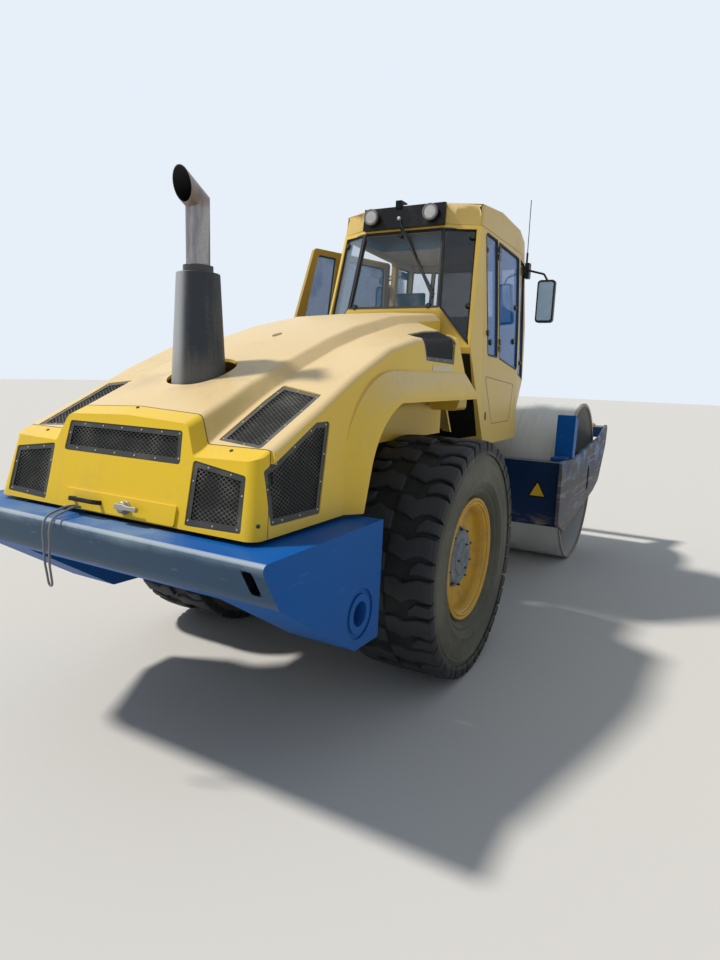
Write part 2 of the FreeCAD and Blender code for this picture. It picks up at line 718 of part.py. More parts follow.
def makeCabGlass():
    panes = [plate(corners, glassDepth, glassThickness, fitGap) for corners in glassCorners()]
    band = cabLoft(glassDepth).cut(cabLoft(glassDepth + glassThickness))
    panes += [band.common(slab("xz", inward(points, fitGap), -900, -400)) for points in sideWindows]
    return Part.makeCompound(panes)


def makeRoof():
    crown = slab("xz", [(600, roofHigh), (1180, roofHigh), (1620, roofHigh + 34), (2100, roofHigh - 8),
                        (2460, roofHigh - 66), (2900, roofHigh - 90), (2900, 3400), (600, 3400)],
                 -sideOfAll, sideOfAll)
    return cabLoft(0.0).common(aboveRoofLine(fitGap)).cut(crown)


def makeVisor():
    sheet = slab("xz", [(1000, 2906), (1060, 2906), (1060, 3036), (1022, 3036)], -328, 328)
    bracket = box((1004, 1042), (10, 60), (3030, 3090)).fuse(box((1004, 1110), (10, 60), (3078, 3090)))
    return sheet.fuse(bracket).cut(cabLoft(-fitGap).cut(box((900, 1200), (-100, 100), (3056, 3200))))


def makeWorkLamps():
    rear = [cylinder("x", (y, 2978), 56, 962, 1040).cut(makeVisor()) for y in (250, -243)]
    front = [cylinder("x", (y, 2960), 45, 2400, 2490) for y in (240, -240)]
    return Part.makeCompound([lamp.cut(cabLoft(-fitGap)) for lamp in rear + front])


def doorPieces():
    gap = doorGap
    band = cabLoft(0.0).cut(cabLoft(cabWall)).common(slab("xz", inward(doorOutline, gap), 500, 900))
    frame = band.cut([slab("xz", points, 400, 900) for points in doorWindows])
    sheet = cabLoft(glassDepth).cut(cabLoft(glassDepth + glassThickness))
    glass = [sheet.common(slab("xz", inward(points, fitGap), 500, 900)) for points in doorWindows]
    fittings = []
    for z in hingeHeights:
        fittings.append(box((2012, 2050), (600, 686), (z, z + hingeHeight)).cut(cabLoft(0.0)))
        fittings.append(box((2044, doorHinge[0] - 8), (666, 686), (z, z + hingeHeight)))
        fittings.append(cylinder("z", doorHinge, 13, z, z + hingeHeight))
    hinges = fittings[0].fuse(fittings[1:]).cut(
        [cylinder("z", doorHinge, doorPin + runningGap, z - 5, z + hingeHeight + 5) for z in hingeHeights])
    return {"door_frame": frame.fuse(hinges), "door_glass": Part.makeCompound(glass)}


# Pins and their brackets on the cab's post, above and below each hinge
def doorPins():
    pins = []
    for z in hingeHeights:
        pins.append(cylinder("z", doorHinge, doorPin, z - 22, z + hingeHeight + 22))
        for low in (z - 22, z + hingeHeight + 2):
            pins.append(box((2090, 2120), (600, 690), (low, low + 20)).cut(cabLoft(0.0)))
    return pins[0].fuse(pins[1:])


def opened(shape):
    copy = shape.copy()
    copy.rotate(vector(doorHinge[0], doorHinge[1], 0), vector(0, 0, 1), -doorAngle)
    return copy


# Inside the cab

def makeSeat():
    floor = cabFloor + floorThickness
    stand = box((1380, 1660), (-150, 150), (floor, floor + 260))
    pan = box((1330, 1780), (-250, 250), (floor + 260, floor + 290))
    return stand.fuse(pan)


def makeCushions():
    base = cabFloor + floorThickness + 290.0 + fitGap
    squab = slab("xz", [(1330, base), (1800, base), (1810, base + 120, 50), (1420, base + 110, 40),
                        (1300, base + 620, 40), (1200, base + 600, 40)], -250, 250)
    head = slab("xz", [(1231, base + 585), (1292, base + 600), (1240, base + 860, 30), (1180, base + 845, 30)],
                -130, 130)
    return squab.fuse(head)


def makeConsole():
    floor = cabFloor + floorThickness
    column = slab("xz", [(2000, floor), (2100, floor), (2040, floor + 520), (1985, floor + 500)], -60, 60)
    dash = box((1960, 2100), (-230, 230), (floor + 470, floor + 560))
    return column.fuse(dash)


def steeringWheel():
    centre = vector(1945, 0, cabFloor + 660)
    way = vector(-0.5, 0, 0.866)
    ring = Part.makeTorus(190, 15, centre, way)
    hub = Part.makeCylinder(38, 30, centre - way * 22, way)
    stem = Part.makeCylinder(16, 108, centre - way * 116, way)
    spokes = [rodBetween(centre, centre + vector(0.866 * a, b, 0.5 * a) * 182, 10)
              for a, b in ((1, 0), (-0.5, 0.866), (-0.5, -0.866))]
    return ring.fuse([hub, stem] + spokes).cut(makeConsole())


# What carries the cab

def makeCabBase():
    longitudinals = box((860, 2050), (400, 460), (1200, 1238))
    crossings = [box((x, x + 60), (-460, 460), (1200, 1238)) for x in (1180, yokeX - 20)]
    legs = [box((1180, 1240), (railInner, railOuter), (railHigh, 1205)),
            box((yokeX, yokeX + 40), (railInner - 60, railOuter), (earHigh + earThickness, 1205))]
    return bothSides(longitudinals).fuse(crossings + legs + [mirrored(leg) for leg in legs])


def makeCabMounts():
    pads = [cylinder("z", (x, 430), 42, 1238, cabFloor) for x in (1290, 2000)]
    return Part.makeCompound(pads + [mirrored(pad) for pad in pads])


def makeSteps():
    sides = [box((x, x + 10), (700, 900), (520, 1190)) for x in (850, 1140)]
    treads = [box((850, 1150), (low, 900), (z, z + 30)) for z, low in ((530, 740), (850, 700), (1160, 700))]
    arms = [box((x, x + 50), (460, 760), (1200, 1238)) for x in (870, 1080)]
    hangers = [box((x, x + 50), (700, 760), (1180, 1205)) for x in (870, 1080)]
    return sides[0].fuse(sides[1:] + treads + arms + hangers)


def makeTank():
    body = slab("xz", [(850, 640, 40), (1150, 640, 40), (1150, 1150, 30), (850, 1150, 30)], -880, -520)
    arms = [box((x, x + 50), (-760, -460), (1200, 1238)) for x in (870, 1080)]
    hangers = [box((x, x + 50), (-760, -600), (1145, 1205)) for x in (870, 1080)]
    return body.fuse(arms + hangers)


def makeMirrors():
    elbow, knee, hang = (mirrorX + 6, 622, 2744), (mirrorX, 774, 2702), (mirrorX, 806, 2650)
    arm = rodBetween((mirrorX, 540, 2746), elbow, 9)
    arm = arm.fuse([rodBetween(elbow, knee, 9), rodBetween(knee, hang, 9)])
    head = slab("yz", [(728, 2285, 30), (882, 2285, 30), (884, 2650, 30), (730, 2650, 30)],
                mirrorX - 26, mirrorX + 20)
    foot = box((mirrorX - 26, mirrorX + 64), (540, 612), (2712, 2778))
    return arm.fuse([head, foot]).cut(cabLoft(-fitGap))


# The antenna stands on the right mirror's foot, clear of the roof's edge
def makeAntenna():
    base = cylinder("z", (mirrorX + 50, -600), 9, 2778, 2900)
    return base.fuse(cylinder("z", (mirrorX + 50, -600), 3.5, 2895, 3345))


def makeWiper():
    low, high = cabPoint(0, 0.0, 2380.0, -1), cabPoint(0, 0.0, 2900.0, 1)
    arm = rodBetween((low.x - 16, low.y * 0.9, low.z), (high.x - 16, 20, high.z), 7)
    pivot = cylinder("x", (20, high.z), 16, high.x - 24, high.x + 20)
    return arm.fuse(pivot).cut([cabLoft(-fitGap), makeVisor()])


# Articulation: a block that yaws on the centre pin, with a spigot forward for the front frame's roll

def makeSteerBlock():
    rear, front = pivotFromAxle - 80.0, pivotFromAxle + 110.0
    body = box((rear, front), (-100, 100), (earLow + earThickness + 1, earHigh - 1))
    body = body.fuse([cylinder("x", (0, rollHeight), 100, front - 20, beamRear - runningGap),
                      cylinder("x", (0, rollHeight), rollPin, front, beamRear + beamDepth - 10)])
    tip = armReach + 42.0
    half = [(pivotFromAxle - 70, 95), (pivotFromAxle - 42, tip, 40), (pivotFromAxle + 42, tip, 40), (pivotFromAxle + 70, 95)]
    plan = half + [(p[0], -p[1]) + tuple(p[2:]) for p in reversed(half)]
    arms = [slab("xy", plan, low, low + 16) for low in (cylinderZ - 44, cylinderZ + 28)]
    heads = [cylinder("z", (pivotFromAxle, y), cylinderPin, low, low + 8)
             for y in (-armReach, armReach) for low in (cylinderZ - 52, cylinderZ + 44)]
    return body.fuse(arms + heads).cut(cylinder("z", (pivotFromAxle, 0), pivotPin + runningGap, 400, 1200))


# Front frame

def makeSidePlates():
    rear = beamRear - 122.0
    nose = frameFront
    points = [(rear, 1110, 20), (beamRear + 418, 1092, 300), (wheelbase + 630, 1200, 300), (nose, 1325, 50),
              (nose - 30, 1080, 160), (wheelbase + 720, 712, 120), (wheelbase + 450, 636, 100),
              (rear + 270, 455, 60), (rear, 560, 40)]
    slot = slab("xz", [(wheelbase + 10, 690, 44), (wheelbase + 106, 700, 44), (wheelbase + 106, 950, 44),
                       (wheelbase + 10, 940, 44)], sideInner - 20, sideY + 20)
    side = slab("xz", points, sideInner, sideY).cut(slot)
    return Part.makeCompound([side, mirrored(side)])


def makeRearBeam():
    front = beamRear + beamDepth
    beam = box((beamRear, front), (-sideInner + fitGap, sideInner - fitGap), (beamLow, beamHigh))
    return beam.cut(cylinder("x", (0, rollHeight), rollPin + runningGap, beamRear - 50, front + 50))


def makeNoseBeam():
    rear = frameFront - noseBeamDepth - 20.0
    return slab("xz", [(rear, 1170), (frameFront - 45, 1170, 20), (frameFront - 28, 1296, 20), (rear, 1285)],
                -sideInner + fitGap, sideInner - fitGap)


def makeGuard():
    x = beamRear + 238.0
    return slab("xz", [(x, beamHigh + 30), (x + 12, 1490, 14), (x + 150, 1440, 30), (x + 100, beamHigh + 22)],
                -sideY, -sideY + 158).fuse(box((beamRear + 100, x + 100), (-sideInner + 1, -sideY + 158),
                                               (beamHigh + fitGap, beamHigh + 34)))


def makeScraper():
    front = beamRear + beamDepth
    blade = box((front + fitGap, front + 60), (-drumWidth / 2.0, drumWidth / 2.0), (560, 600))
    return blade


# The drum: shell and its two recessed heads
def makeDrumShell():
    half = drumWidth / 2.0
    return turned([(drumRadius, -half), (drumRadius, half), (drumRadius - drumWall, half),
                   (drumRadius - drumWall, -half)], wheelbase, drumRadius)


def makeDrumHeads():
    head = drumWidth / 2.0 - headInset
    inner = drumRadius - drumWall - fitGap
    bore = drumShaft + runningGap
    one = turned([(inner, head), (bore, head), (bore, head - headThickness), (inner, head - headThickness)],
                 wheelbase, drumRadius)
    boss = turned([(bore, head - headThickness - 60), (bore + 40, head - headThickness - 60),
                   (bore + 60, head - headThickness), (bore, head - headThickness)], wheelbase, drumRadius)
    one = one.fuse(boss)
    return Part.makeCompound([one, mirrored(one)])


# Shaft, rubber buffer carrier and drive plate between the drum's head and the side plate
def makeDrumMounts():
    half = drumWidth / 2.0
    head = half - headInset
    at = (wheelbase, drumRadius)
    one = cylinder("y", at, drumShaft, head - headThickness - 50, sideInner - fitGap).fuse(
        [cylinder("y", at, 190, head + 40, half - 60), cylinder("y", at, 300, half - 60, half - 34),
         cylinder("y", at, 130, half - 40, sideInner - fitGap)])
    return Part.makeCompound([one, mirrored(one)])


# Steering cylinders, lying between the rails from the cross piece to the steer block's arms
def makeSteerBarrel():
    length = pivotFromAxle - cylinderBase
    eye = cylinder("z", (cylinderBase, armReach), 36, cylinderZ - 26, cylinderZ + 26)
    barrel = cylinder("x", (armReach, cylinderZ), barrelRadius, cylinderBase + 28, cylinderBase + 0.66 * length)
    bore = cylinder("x", (armReach, cylinderZ), rodRadius + runningGap, cylinderBase + 60, cylinderBase + length)
    return barrel.fuse(eye).cut([bore, cylinder("z", (cylinderBase, armReach), cylinderPin + runningGap, 700, 950)])


def makeSteerRod():
    inner = cylinderBase + 60.0 + 0.18 * (pivotFromAxle - cylinderBase)
    rod = cylinder("x", (armReach, cylinderZ), rodRadius, inner, pivotFromAxle - 20)
    return rod.fuse(cylinder("z", (pivotFromAxle, armReach), 36, cylinderZ - 26, cylinderZ + 26))


def buildPieces():
    pieces = {
        "chassis": makeChassis(),
        "bumper": makeBumper(),
        "rear_axle": makeRearAxle(),
        "engine": makeEngine(),
        "radiator": makeRadiator(),
        "muffler": makeMuffler(),
        "exhaust_pipe": makeExhaust(),
        "bulkhead": makeBulkhead(),
        "wheel_liners": makeLiners(),
        "tail_handle": makeTailHandle(),
        "tail_latch": makeTailLatch(),
        "tail_cord": makeCord(),
        "cab_floor": makeCabFloor(),
        "cab_glass": makeCabGlass(),
        "cab_roof": makeRoof(),
        "roof_visor": makeVisor(),
        "work_lamps": makeWorkLamps(),
        "seat_stand": makeSeat(),
        "seat_cushions": makeCushions(),
        "console": makeConsole(),
        "steering_wheel": steeringWheel(),
        "cab_base": makeCabBase(),
        "cab_mounts": makeCabMounts(),
        "access_steps": makeSteps(),
        "fuel_tank": makeTank(),
        "antenna": makeAntenna(),
        "wiper": makeWiper(),
        "steer_block": makeSteerBlock(),
        "side_plates": makeSidePlates(),
        "rear_beam": makeRearBeam(),
        "nose_beam": makeNoseBeam(),
        "drum_guard": makeGuard(),
        "drum_scraper": makeScraper(),
        "drum_mounts": makeDrumMounts(),
        "drum_shell": makeDrumShell(),
        "drum_heads": makeDrumHeads(),
    }
    pieces.update(hoodPieces())
    pieces.update(cabPanels())
    pieces["cab_left_wall"] = pieces["cab_left_wall"].fuse(doorPins())
    pieces.update({name: opened(shape) for name, shape in doorPieces().items()})
    mirror = makeMirrors()
    pieces["mirrors"] = Part.makeCompound([mirror, mirrored(mirror)])
    for name, side in (("left", 1), ("right", -1)):
        pieces["tyre_" + name] = makeTyre(side)
        pieces["rim_" + name] = makeRim(side)
        pieces["steer_barrel_" + name] = makeSteerBarrel() if side > 0 else mirrored(makeSteerBarrel())
        pieces["steer_rod_" + name] = makeSteerRod() if side > 0 else mirrored(makeSteerRod())
    return pieces


os.makedirs("parts", exist_ok=True)
allPieces = buildPieces()
ends = [allPieces["bumper"].optimalBoundingBox(), allPieces["side_plates"].optimalBoundingBox()]
shift = -(ends[0].XMin + ends[1].XMax) / 2.0
print("moved along x by %.3f" % shift)
for pieceName, shape in allPieces.items():
    placed = shape.copy()
    placed.translate(vector(shift, 0, 0))
    placed.exportStep("parts/" + pieceName + ".step")
    bounds = placed.optimalBoundingBox()
    print("%-18s solids %2d valid %s volume %8.4f m3 x %7.1f %7.1f y %7.1f %7.1f z %6.1f %6.1f" % (
        pieceName, len(placed.Solids), placed.isValid(), placed.Volume / 1e9,
        bounds.XMin, bounds.XMax, bounds.YMin, bounds.YMax, bounds.ZMin, bounds.ZMax))
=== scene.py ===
import bpy, bmesh, math
from mathutils import Vector, Matrix
from mathutils.bvhtree import BVHTree
from mathutils.geometry import delaunay_2d_cdt


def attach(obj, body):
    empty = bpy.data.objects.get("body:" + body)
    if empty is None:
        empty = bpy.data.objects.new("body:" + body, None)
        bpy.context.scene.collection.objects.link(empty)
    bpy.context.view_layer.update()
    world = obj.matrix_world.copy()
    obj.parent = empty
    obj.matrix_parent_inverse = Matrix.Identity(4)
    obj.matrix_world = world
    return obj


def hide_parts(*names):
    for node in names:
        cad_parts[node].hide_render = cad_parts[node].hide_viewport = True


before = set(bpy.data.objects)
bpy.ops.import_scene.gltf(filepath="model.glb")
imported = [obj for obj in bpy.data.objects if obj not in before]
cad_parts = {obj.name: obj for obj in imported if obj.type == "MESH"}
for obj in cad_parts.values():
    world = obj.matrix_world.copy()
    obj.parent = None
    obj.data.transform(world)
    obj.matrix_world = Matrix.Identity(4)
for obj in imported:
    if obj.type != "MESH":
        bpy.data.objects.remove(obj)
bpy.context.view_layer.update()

# A single-drum road roller. Metres, x forward, y to the operator's left, z up.
fromAxle = -1.139554            # the rear axle's x in this frame


# Camera at the photograph's angle

view = {"place": (-3.56807 + fromAxle, -2.26847, 1.79549), "yaw": 0.509783, "pitch": -0.166261,
        "roll": 0.033898, "focalPixels": 639.118, "widthPixels": 720.0}


def makeCamera():
    yaw, pitch, roll = view["yaw"], view["pitch"], view["roll"]
    ahead = Vector((math.cos(yaw) * math.cos(pitch), math.sin(yaw) * math.cos(pitch), math.sin(pitch)))
    flatRight = ahead.cross(Vector((0, 0, 1))).normalized()
    flatUp = flatRight.cross(ahead)
    right = flatRight * math.cos(roll) + flatUp * math.sin(roll)
    up = flatUp * math.cos(roll) - flatRight * math.sin(roll)
    lens = bpy.data.cameras.new("camera")
    lens.sensor_fit = "HORIZONTAL"
    lens.sensor_width = 36.0
    lens.lens = view["focalPixels"] / view["widthPixels"] * 36.0
    lens.clip_end = 200.0
    camera = bpy.data.objects.new("camera", lens)
    bpy.context.scene.collection.objects.link(camera)
    turn = Matrix((right, up, -ahead)).transposed().to_4x4()
    camera.matrix_world = Matrix.Translation(Vector(view["place"])) @ turn
    bpy.context.scene.camera = camera


makeCamera()
print("camera set")


# Shader maths: an expression on wires adds its Math nodes

class Wire:
    def __init__(self, finish, socket):
        self.finish, self.socket = finish, socket

    def math(self, operation, *values):
        return self.finish.node("ShaderNodeMath", {"operation": operation}, dict(enumerate(values)))

    def __add__(self, other):
        return self.math("ADD", self, other)

    def __radd__(self, other):
        return self.math("ADD", other, self)

    def __sub__(self, other):
        return self.math("SUBTRACT", self, other)

    def __rsub__(self, other):
        return self.math("SUBTRACT", other, self)

    def __mul__(self, other):
        return self.math("MULTIPLY", self, other)

    def __rmul__(self, other):
        return self.math("MULTIPLY", other, self)

    def __truediv__(self, other):
        return self.math("DIVIDE", self, other)

    def __rtruediv__(self, other):
        return self.math("DIVIDE", other, self)

    def __neg__(self):
        return self.math("MULTIPLY", self, -1.0)

    # 0 below low, 1 above high, smooth between
    def rise(self, low, high):
        return self.finish.node("ShaderNodeMapRange", {"interpolation_type": "SMOOTHSTEP", "clamp": True},
                                {"Value": self, "From Min": low, "From Max": high})

    def inside(self, low, high, soft):
        return self.rise(low - soft, low + soft) * (1.0 - self.rise(high - soft, high + soft))


class Finish:
    def __init__(self, name):
        self.material = bpy.data.materials.new(name)
        self.material.use_nodes = True
        self.tree = self.material.node_tree
        self.tree.nodes.clear()
        self.place = self.node("ShaderNodeTexCoord", out="Object")
        self.facing = self.node("ShaderNodeTexCoord", out="Normal")
        self.x, self.y, self.z = self.split(self.place)

    def node(self, kind, settings=None, values=None, out=0):
        made = self.tree.nodes.new(kind)
        for key, value in (settings or {}).items():
            if key == "stops":
                ramp = made.color_ramp
                while len(ramp.elements) < len(value):
                    ramp.elements.new(0.5)
                for element, (at, colour) in zip(ramp.elements, value):
                    element.position, element.color = at, tuple(colour) + (1.0,)
            else:
                setattr(made, key, value)
        for key, value in (values or {}).items():
            if isinstance(value, Wire):
                self.tree.links.new(value.socket, made.inputs[key])
            else:
                made.inputs[key].default_value = value
        return Wire(self, made.outputs[out]) if len(made.outputs) else None

    def split(self, vector):
        first = self.node("ShaderNodeSeparateXYZ", values={0: vector})
        parts = first.socket.node.outputs
        return [Wire(self, part) for part in parts]

    def noise(self, scale, detail=4.0, roughness=0.55, stretch=None, distortion=0.0):
        at = self.place
        if stretch:
            at = self.node("ShaderNodeVectorMath", {"operation": "MULTIPLY"}, {0: at, 1: stretch})
        return self.node("ShaderNodeTexNoise", {}, {"Vector": at, "Scale": scale, "Detail": detail,
                                                    "Roughness": roughness, "Distortion": distortion})

    def blend(self, share, first, second):
        colours = [c if isinstance(c, Wire) else tuple(c) + (1.0,) for c in (first, second)]
        return self.node("ShaderNodeMix", {"data_type": "RGBA"}, {0: share, 6: colours[0], 7: colours[1]}, out=2)

    def bump(self, height, strength, distance=0.002):
        return self.node("ShaderNodeBump", {}, {"Strength": strength, "Distance": distance, "Height": height})

    # The surface itself. Sockets that stay the same all over are plain numbers
    def surface(self, **values):
        names = {"colour": "Base Color", "roughness": "Roughness", "metal": "Metallic", "alpha": "Alpha",
                 "coat": "Coat Weight", "coatRoughness": "Coat Roughness", "specular": "Specular IOR Level",
                 "sheen": "Sheen Weight", "sheenRoughness": "Sheen Roughness", "normal": "Normal", "ior": "IOR",
                 "glow": "Emission Color", "glowStrength": "Emission Strength"}
        sockets = {}
        for key, value in values.items():
            if key in ("colour", "glow") and not isinstance(value, Wire):
                value = tuple(value) + (1.0,)
            sockets[names[key]] = value
        shader = self.node("ShaderNodeBsdfPrincipled", {}, sockets)
        self.node("ShaderNodeOutputMaterial", {}, {"Surface": shader})
        return self.material


# Finishes

paint = {"yellow": (0.80, 0.53, 0.018), "bleachedAndLit": (0.74, 0.555, 0.30), "yellowDust": (0.42, 0.34, 0.19),
         "blue": (0.0003, 0.088, 0.37), "fadedAndLitBlue": (0.24, 0.33, 0.41), "shadedRearBlue": (0.034, 0.075, 0.118),
         "shadedBlue": (0.001, 0.015, 0.068), "dust": (0.30, 0.26, 0.20), "mud": (0.16, 0.135, 0.105),
         "rust": (0.13, 0.045, 0.015)}


# Yellow paint lighter on its upper faces, partly sun-faded and partly a painted highlight, with dust in the lows and
# small chips
def yellowPaint(name, low, high, sideBleach, dustAndShade=0.0):
    f = Finish(name)
    up = f.split(f.facing)[2]
    cloud, grain = f.noise(2.2, 6.0), f.noise(38.0, 5.0, 0.7)
    fadeAndHighlight = (up + (cloud - 0.5) * 0.35).rise(low, high) * (0.96 - sideBleach) + sideBleach
    colour = f.blend(fadeAndHighlight, paint["yellow"], paint["bleachedAndLit"])
    upright = 1.0 - up.rise(0.5, 0.9)
    streak = f.noise(1.0, 6.0, 0.6, stretch=(9.0, 9.0, 0.7)).rise(0.56, 0.80) * upright * 0.30
    film = (cloud * 0.6 + grain * 0.4).rise(0.52, 0.76) * 0.36
    colour = f.blend(streak.math("MAXIMUM", streak, film), colour, paint["yellowDust"])
    # Faces that look down are darker: road dust, and painted shade
    downDustAndShade = (1.0 - up.rise(-0.75, 0.05)) * 0.45
    colour = f.blend(downDustAndShade, colour, (0.30, 0.21, 0.07))
    # Soot settles round the stack
    stack = (f.x + f.z * 0.9).inside(-1.06, -0.62, 0.16) * f.y.inside(-0.42, 0.42, 0.12)
    soot = f.noise(3.0, 7.0, 0.7).rise(0.44, 0.72) * stack
    colour = f.blend(soot * up.rise(0.6, 0.9) * 0.34, colour, (0.22, 0.18, 0.13))
    chip = f.noise(95.0, 3.0, 0.8).rise(0.735, 0.755) * f.noise(4.0, 2.0).rise(0.5, 0.62)
    colour = f.blend(chip * 0.8, colour, (0.20, 0.15, 0.10))
    # Darker ochre all over: dust on the cab and roof, painted shade on the door
    colour = f.blend(dustAndShade, colour, (0.27, 0.185, 0.075))
    if name == "yellow_cab_rear":
        # Painted shade: black below the window between the corner posts, where the gap to the hood lies in shadow; the
        # posts between the panes are black too
        aside = f.y.math("ABSOLUTE", f.y)
        shade = (1.0 - f.z.rise(1.955, 1.965)) * (1.0 - aside.rise(0.622, 0.626))
        behind = 1.0 - (f.x - fromAxle).rise(1.08, 1.10)
        post = aside.inside(0.325, 0.420, 0.003) * f.z.inside(2.29, 2.868, 0.004) * behind
        colour = f.blend(shade.math("MAXIMUM", shade, post), colour, (0.008, 0.008, 0.009))
    if name in ("yellow_paint", "yellow_tail"):
        # Dark line where the tail cap meets the hood
        seam = (f.x - fromAxle + 1.653) - (f.z - 1.169) * 0.24
        line = seam.inside(-0.0026, 0.0022, 0.0006) * f.z.rise(1.14, 1.16)
        colour = f.blend(line * 0.9, colour, (0.020, 0.015, 0.010))
    return f.surface(colour=colour, roughness=film * 0.5 + grain * 0.12 + 0.32, specular=0.28,
                     normal=f.bump(grain, 0.12, 0.0015))


# Blue paint: pale and scuffed on the top edge, dusty at the foot, rust where it is chipped
def bluePaint():
    f = Finish("blue_paint")
    nx, _, up = f.split(f.facing)
    cloud, grain = f.noise(3.0, 6.0, 0.6), f.noise(60.0, 5.0, 0.7)
    colour = f.blend(f.noise(9.0, 5.0) * 0.5, paint["blue"], (0.002, 0.11, 0.31))
    # Rear-facing faces get a darker grey-blue: painted shade
    behind = (-nx).rise(0.6, 0.9) * f.x.inside(-3.2, -2.9, 0.02)
    colour = f.blend(behind * (0.80 + cloud * 0.25), colour, paint["shadedRearBlue"])
    edge = f.z.inside(1.075, 1.20, 0.03) * behind
    # The upper faces pale: worn and faded paint and a painted highlight, mostly away from the right side
    top = up.rise(0.55, 0.9) * (f.y.rise(-0.85, -0.15) * 0.45 + 0.20)
    worn = (top + edge * 0.65 + (cloud - 0.5) * 1.1).rise(0.30, 1.0)
    colour = f.blend(worn * 0.72, colour, paint["fadedAndLitBlue"])
    # Pale band along the rounded rear edge: worn paint and a painted highlight
    rim = (-nx).rise(0.08, 0.35) * up.rise(0.30, 0.55) * f.z.inside(1.085, 1.20, 0.012)
    colour = f.blend(rim * (0.45 + cloud * 0.6), colour, (0.40, 0.45, 0.48))
    scratch = f.noise(7.0, 8.0, 0.75, stretch=(1.0, 1.0, 6.0)).rise(0.60, 0.70) * (0.18 + behind * 0.5)
    colour = f.blend(scratch * 0.6, colour, (0.36, 0.40, 0.42))
    scuff = f.noise(26.0, 7.0, 0.8, stretch=(1.0, 0.5, 2.0)).rise(0.60, 0.66) * edge
    colour = f.blend(scuff * 0.7, colour, (0.09, 0.055, 0.035))
    foot = (1.0 - f.z.rise(0.60, 0.98)) * (0.20 + cloud * 0.8) * (0.22 + behind * 0.78)
    colour = f.blend(foot * 0.62, colour, (0.19, 0.165, 0.135))
    # Pale dust on the raked lower face
    lip = (-nx).rise(0.6, 0.85) * (1.0 - f.z.rise(0.84, 0.99)) * f.x.inside(-3.2, -2.6, 0.02)
    colour = f.blend(lip * (0.35 + cloud * 0.6), colour, (0.32, 0.295, 0.25))
    # Chips gather where the rear and the side meet
    corner = (-f.x).inside(2.86, 3.2, 0.05) * (-f.y).inside(0.86, 1.2, 0.05) * 0.035
    rust = (f.noise(17.0, 7.0, 0.75) + corner + corner * f.z.inside(0.80, 1.02, 0.06)).rise(0.665, 0.70)
    colour = f.blend(rust * 0.85, colour, paint["rust"])
    # Painted shade: dark inside the towing slots
    aside = f.y.math("ABSOLUTE", f.y)
    slot = aside.inside(0.8515, 0.9025, 0.0006) * f.z.inside(0.9855, 1.0945, 0.0006)
    slot = slot * (1.0 - f.x.rise(-2.90, -2.89))
    colour = f.blend(slot, colour, (0.006, 0.006, 0.007))
    return f.surface(colour=colour, roughness=0.46 + foot * 0.35 + rust * 0.2 + worn * 0.1, specular=0.14,
                     normal=f.bump(grain + cloud * 2.0 + rust, 0.2, 0.002))


# Blue darkened to a deep blue: painted shade on the beams and tank, with dust, mud and rust
def shadedBluePaint():
    f = Finish("shaded_blue_paint")
    up = f.split(f.facing)[2]
    cloud, grain = f.noise(3.5, 6.0, 0.6), f.noise(55.0, 5.0, 0.7)
    colour = f.blend(cloud * 0.6, paint["shadedBlue"], (0.008, 0.040, 0.11))
    film = (up.rise(0.4, 0.9) + (cloud - 0.5) * 1.4 + (1.0 - f.z.rise(0.45, 1.0)) * 0.3).rise(0.45, 1.1)
    colour = f.blend(film * 0.7, colour, (0.22, 0.20, 0.165))
    low = (1.0 - f.z.rise(0.50, 0.66)) * f.noise(6.0, 8.0, 0.75, stretch=(1.0, 1.0, 3.0)).rise(0.46, 0.60)
    colour = f.blend(low * 0.8, colour, (0.26, 0.20, 0.14))
    rust = f.noise(15.0, 7.0, 0.75).rise(0.655, 0.69)
    colour = f.blend(rust * 0.8, colour, paint["rust"])
    return f.surface(colour=colour, roughness=0.48 + film * 0.3, specular=0.25,
                     normal=f.bump(grain + cloud, 0.2, 0.002))


# Side plates worn bare by whatever they slide past
def wornPaint():
    f = Finish("worn_paint")
    cloud, grain = f.noise(2.6, 7.0, 0.62), f.noise(50.0, 6.0, 0.7)
    rub = f.noise(3.0, 8.0, 0.7, stretch=(0.6, 1.0, 7.0))
    colour = f.blend(cloud.rise(0.40, 0.62), (0.006, 0.028, 0.085), (0.075, 0.072, 0.068))
    colour = f.blend(rub.rise(0.52, 0.66) * 0.75, colour, (0.24, 0.25, 0.26))
    colour = f.blend(f.noise(8.0, 7.0, 0.7).rise(0.54, 0.66) * 0.8, colour, paint["rust"])
    left = f.z.rise(0.86, 1.10) * f.noise(5.0, 7.0, 0.7).rise(0.50, 0.56)
    colour = f.blend(left * 0.85, colour, (0.14, 0.25, 0.42))
    colour = f.blend((1.0 - f.z.rise(0.5, 0.95)) * cloud * 0.9, colour, (0.24, 0.20, 0.155))
    return f.surface(colour=colour, roughness=0.5 + cloud * 0.3, metal=0.0, specular=0.4,
                     normal=f.bump(grain + rub * 2.0, 0.35, 0.003))


def framePaint(name, base, dustShare=0.5):
    f = Finish(name)
    up = f.split(f.facing)[2]
    cloud, grain = f.noise(4.0, 6.0, 0.6), f.noise(70.0, 4.0, 0.7)
    film = (up.rise(0.2, 0.95) * 0.7 + cloud * 0.8).rise(0.45, 1.1) * dustShare
    colour = f.blend(cloud * 0.5, base, tuple(c * 1.7 + 0.004 for c in base))
    colour = f.blend(film, colour, (0.22, 0.195, 0.155))
    return f.surface(colour=colour, roughness=0.5 + film * 0.4, specular=0.4,
                     normal=f.bump(grain + cloud, 0.15, 0.002))


def plainPlastic(name, base, rough=0.45, dustShare=0.3, shine=0.45):
    f = Finish(name)
    grain, cloud = f.noise(420.0, 2.0, 0.6), f.noise(6.0, 5.0)
    up = f.split(f.facing)[2]
    film = (cloud + up * 0.25).rise(0.52, 0.85) * dustShare
    colour = f.blend(film, base, (0.16, 0.145, 0.12))
    return f.surface(colour=colour, roughness=film * 0.5 + rough, specular=shine,
                     normal=f.bump(grain, 0.12, 0.0008))


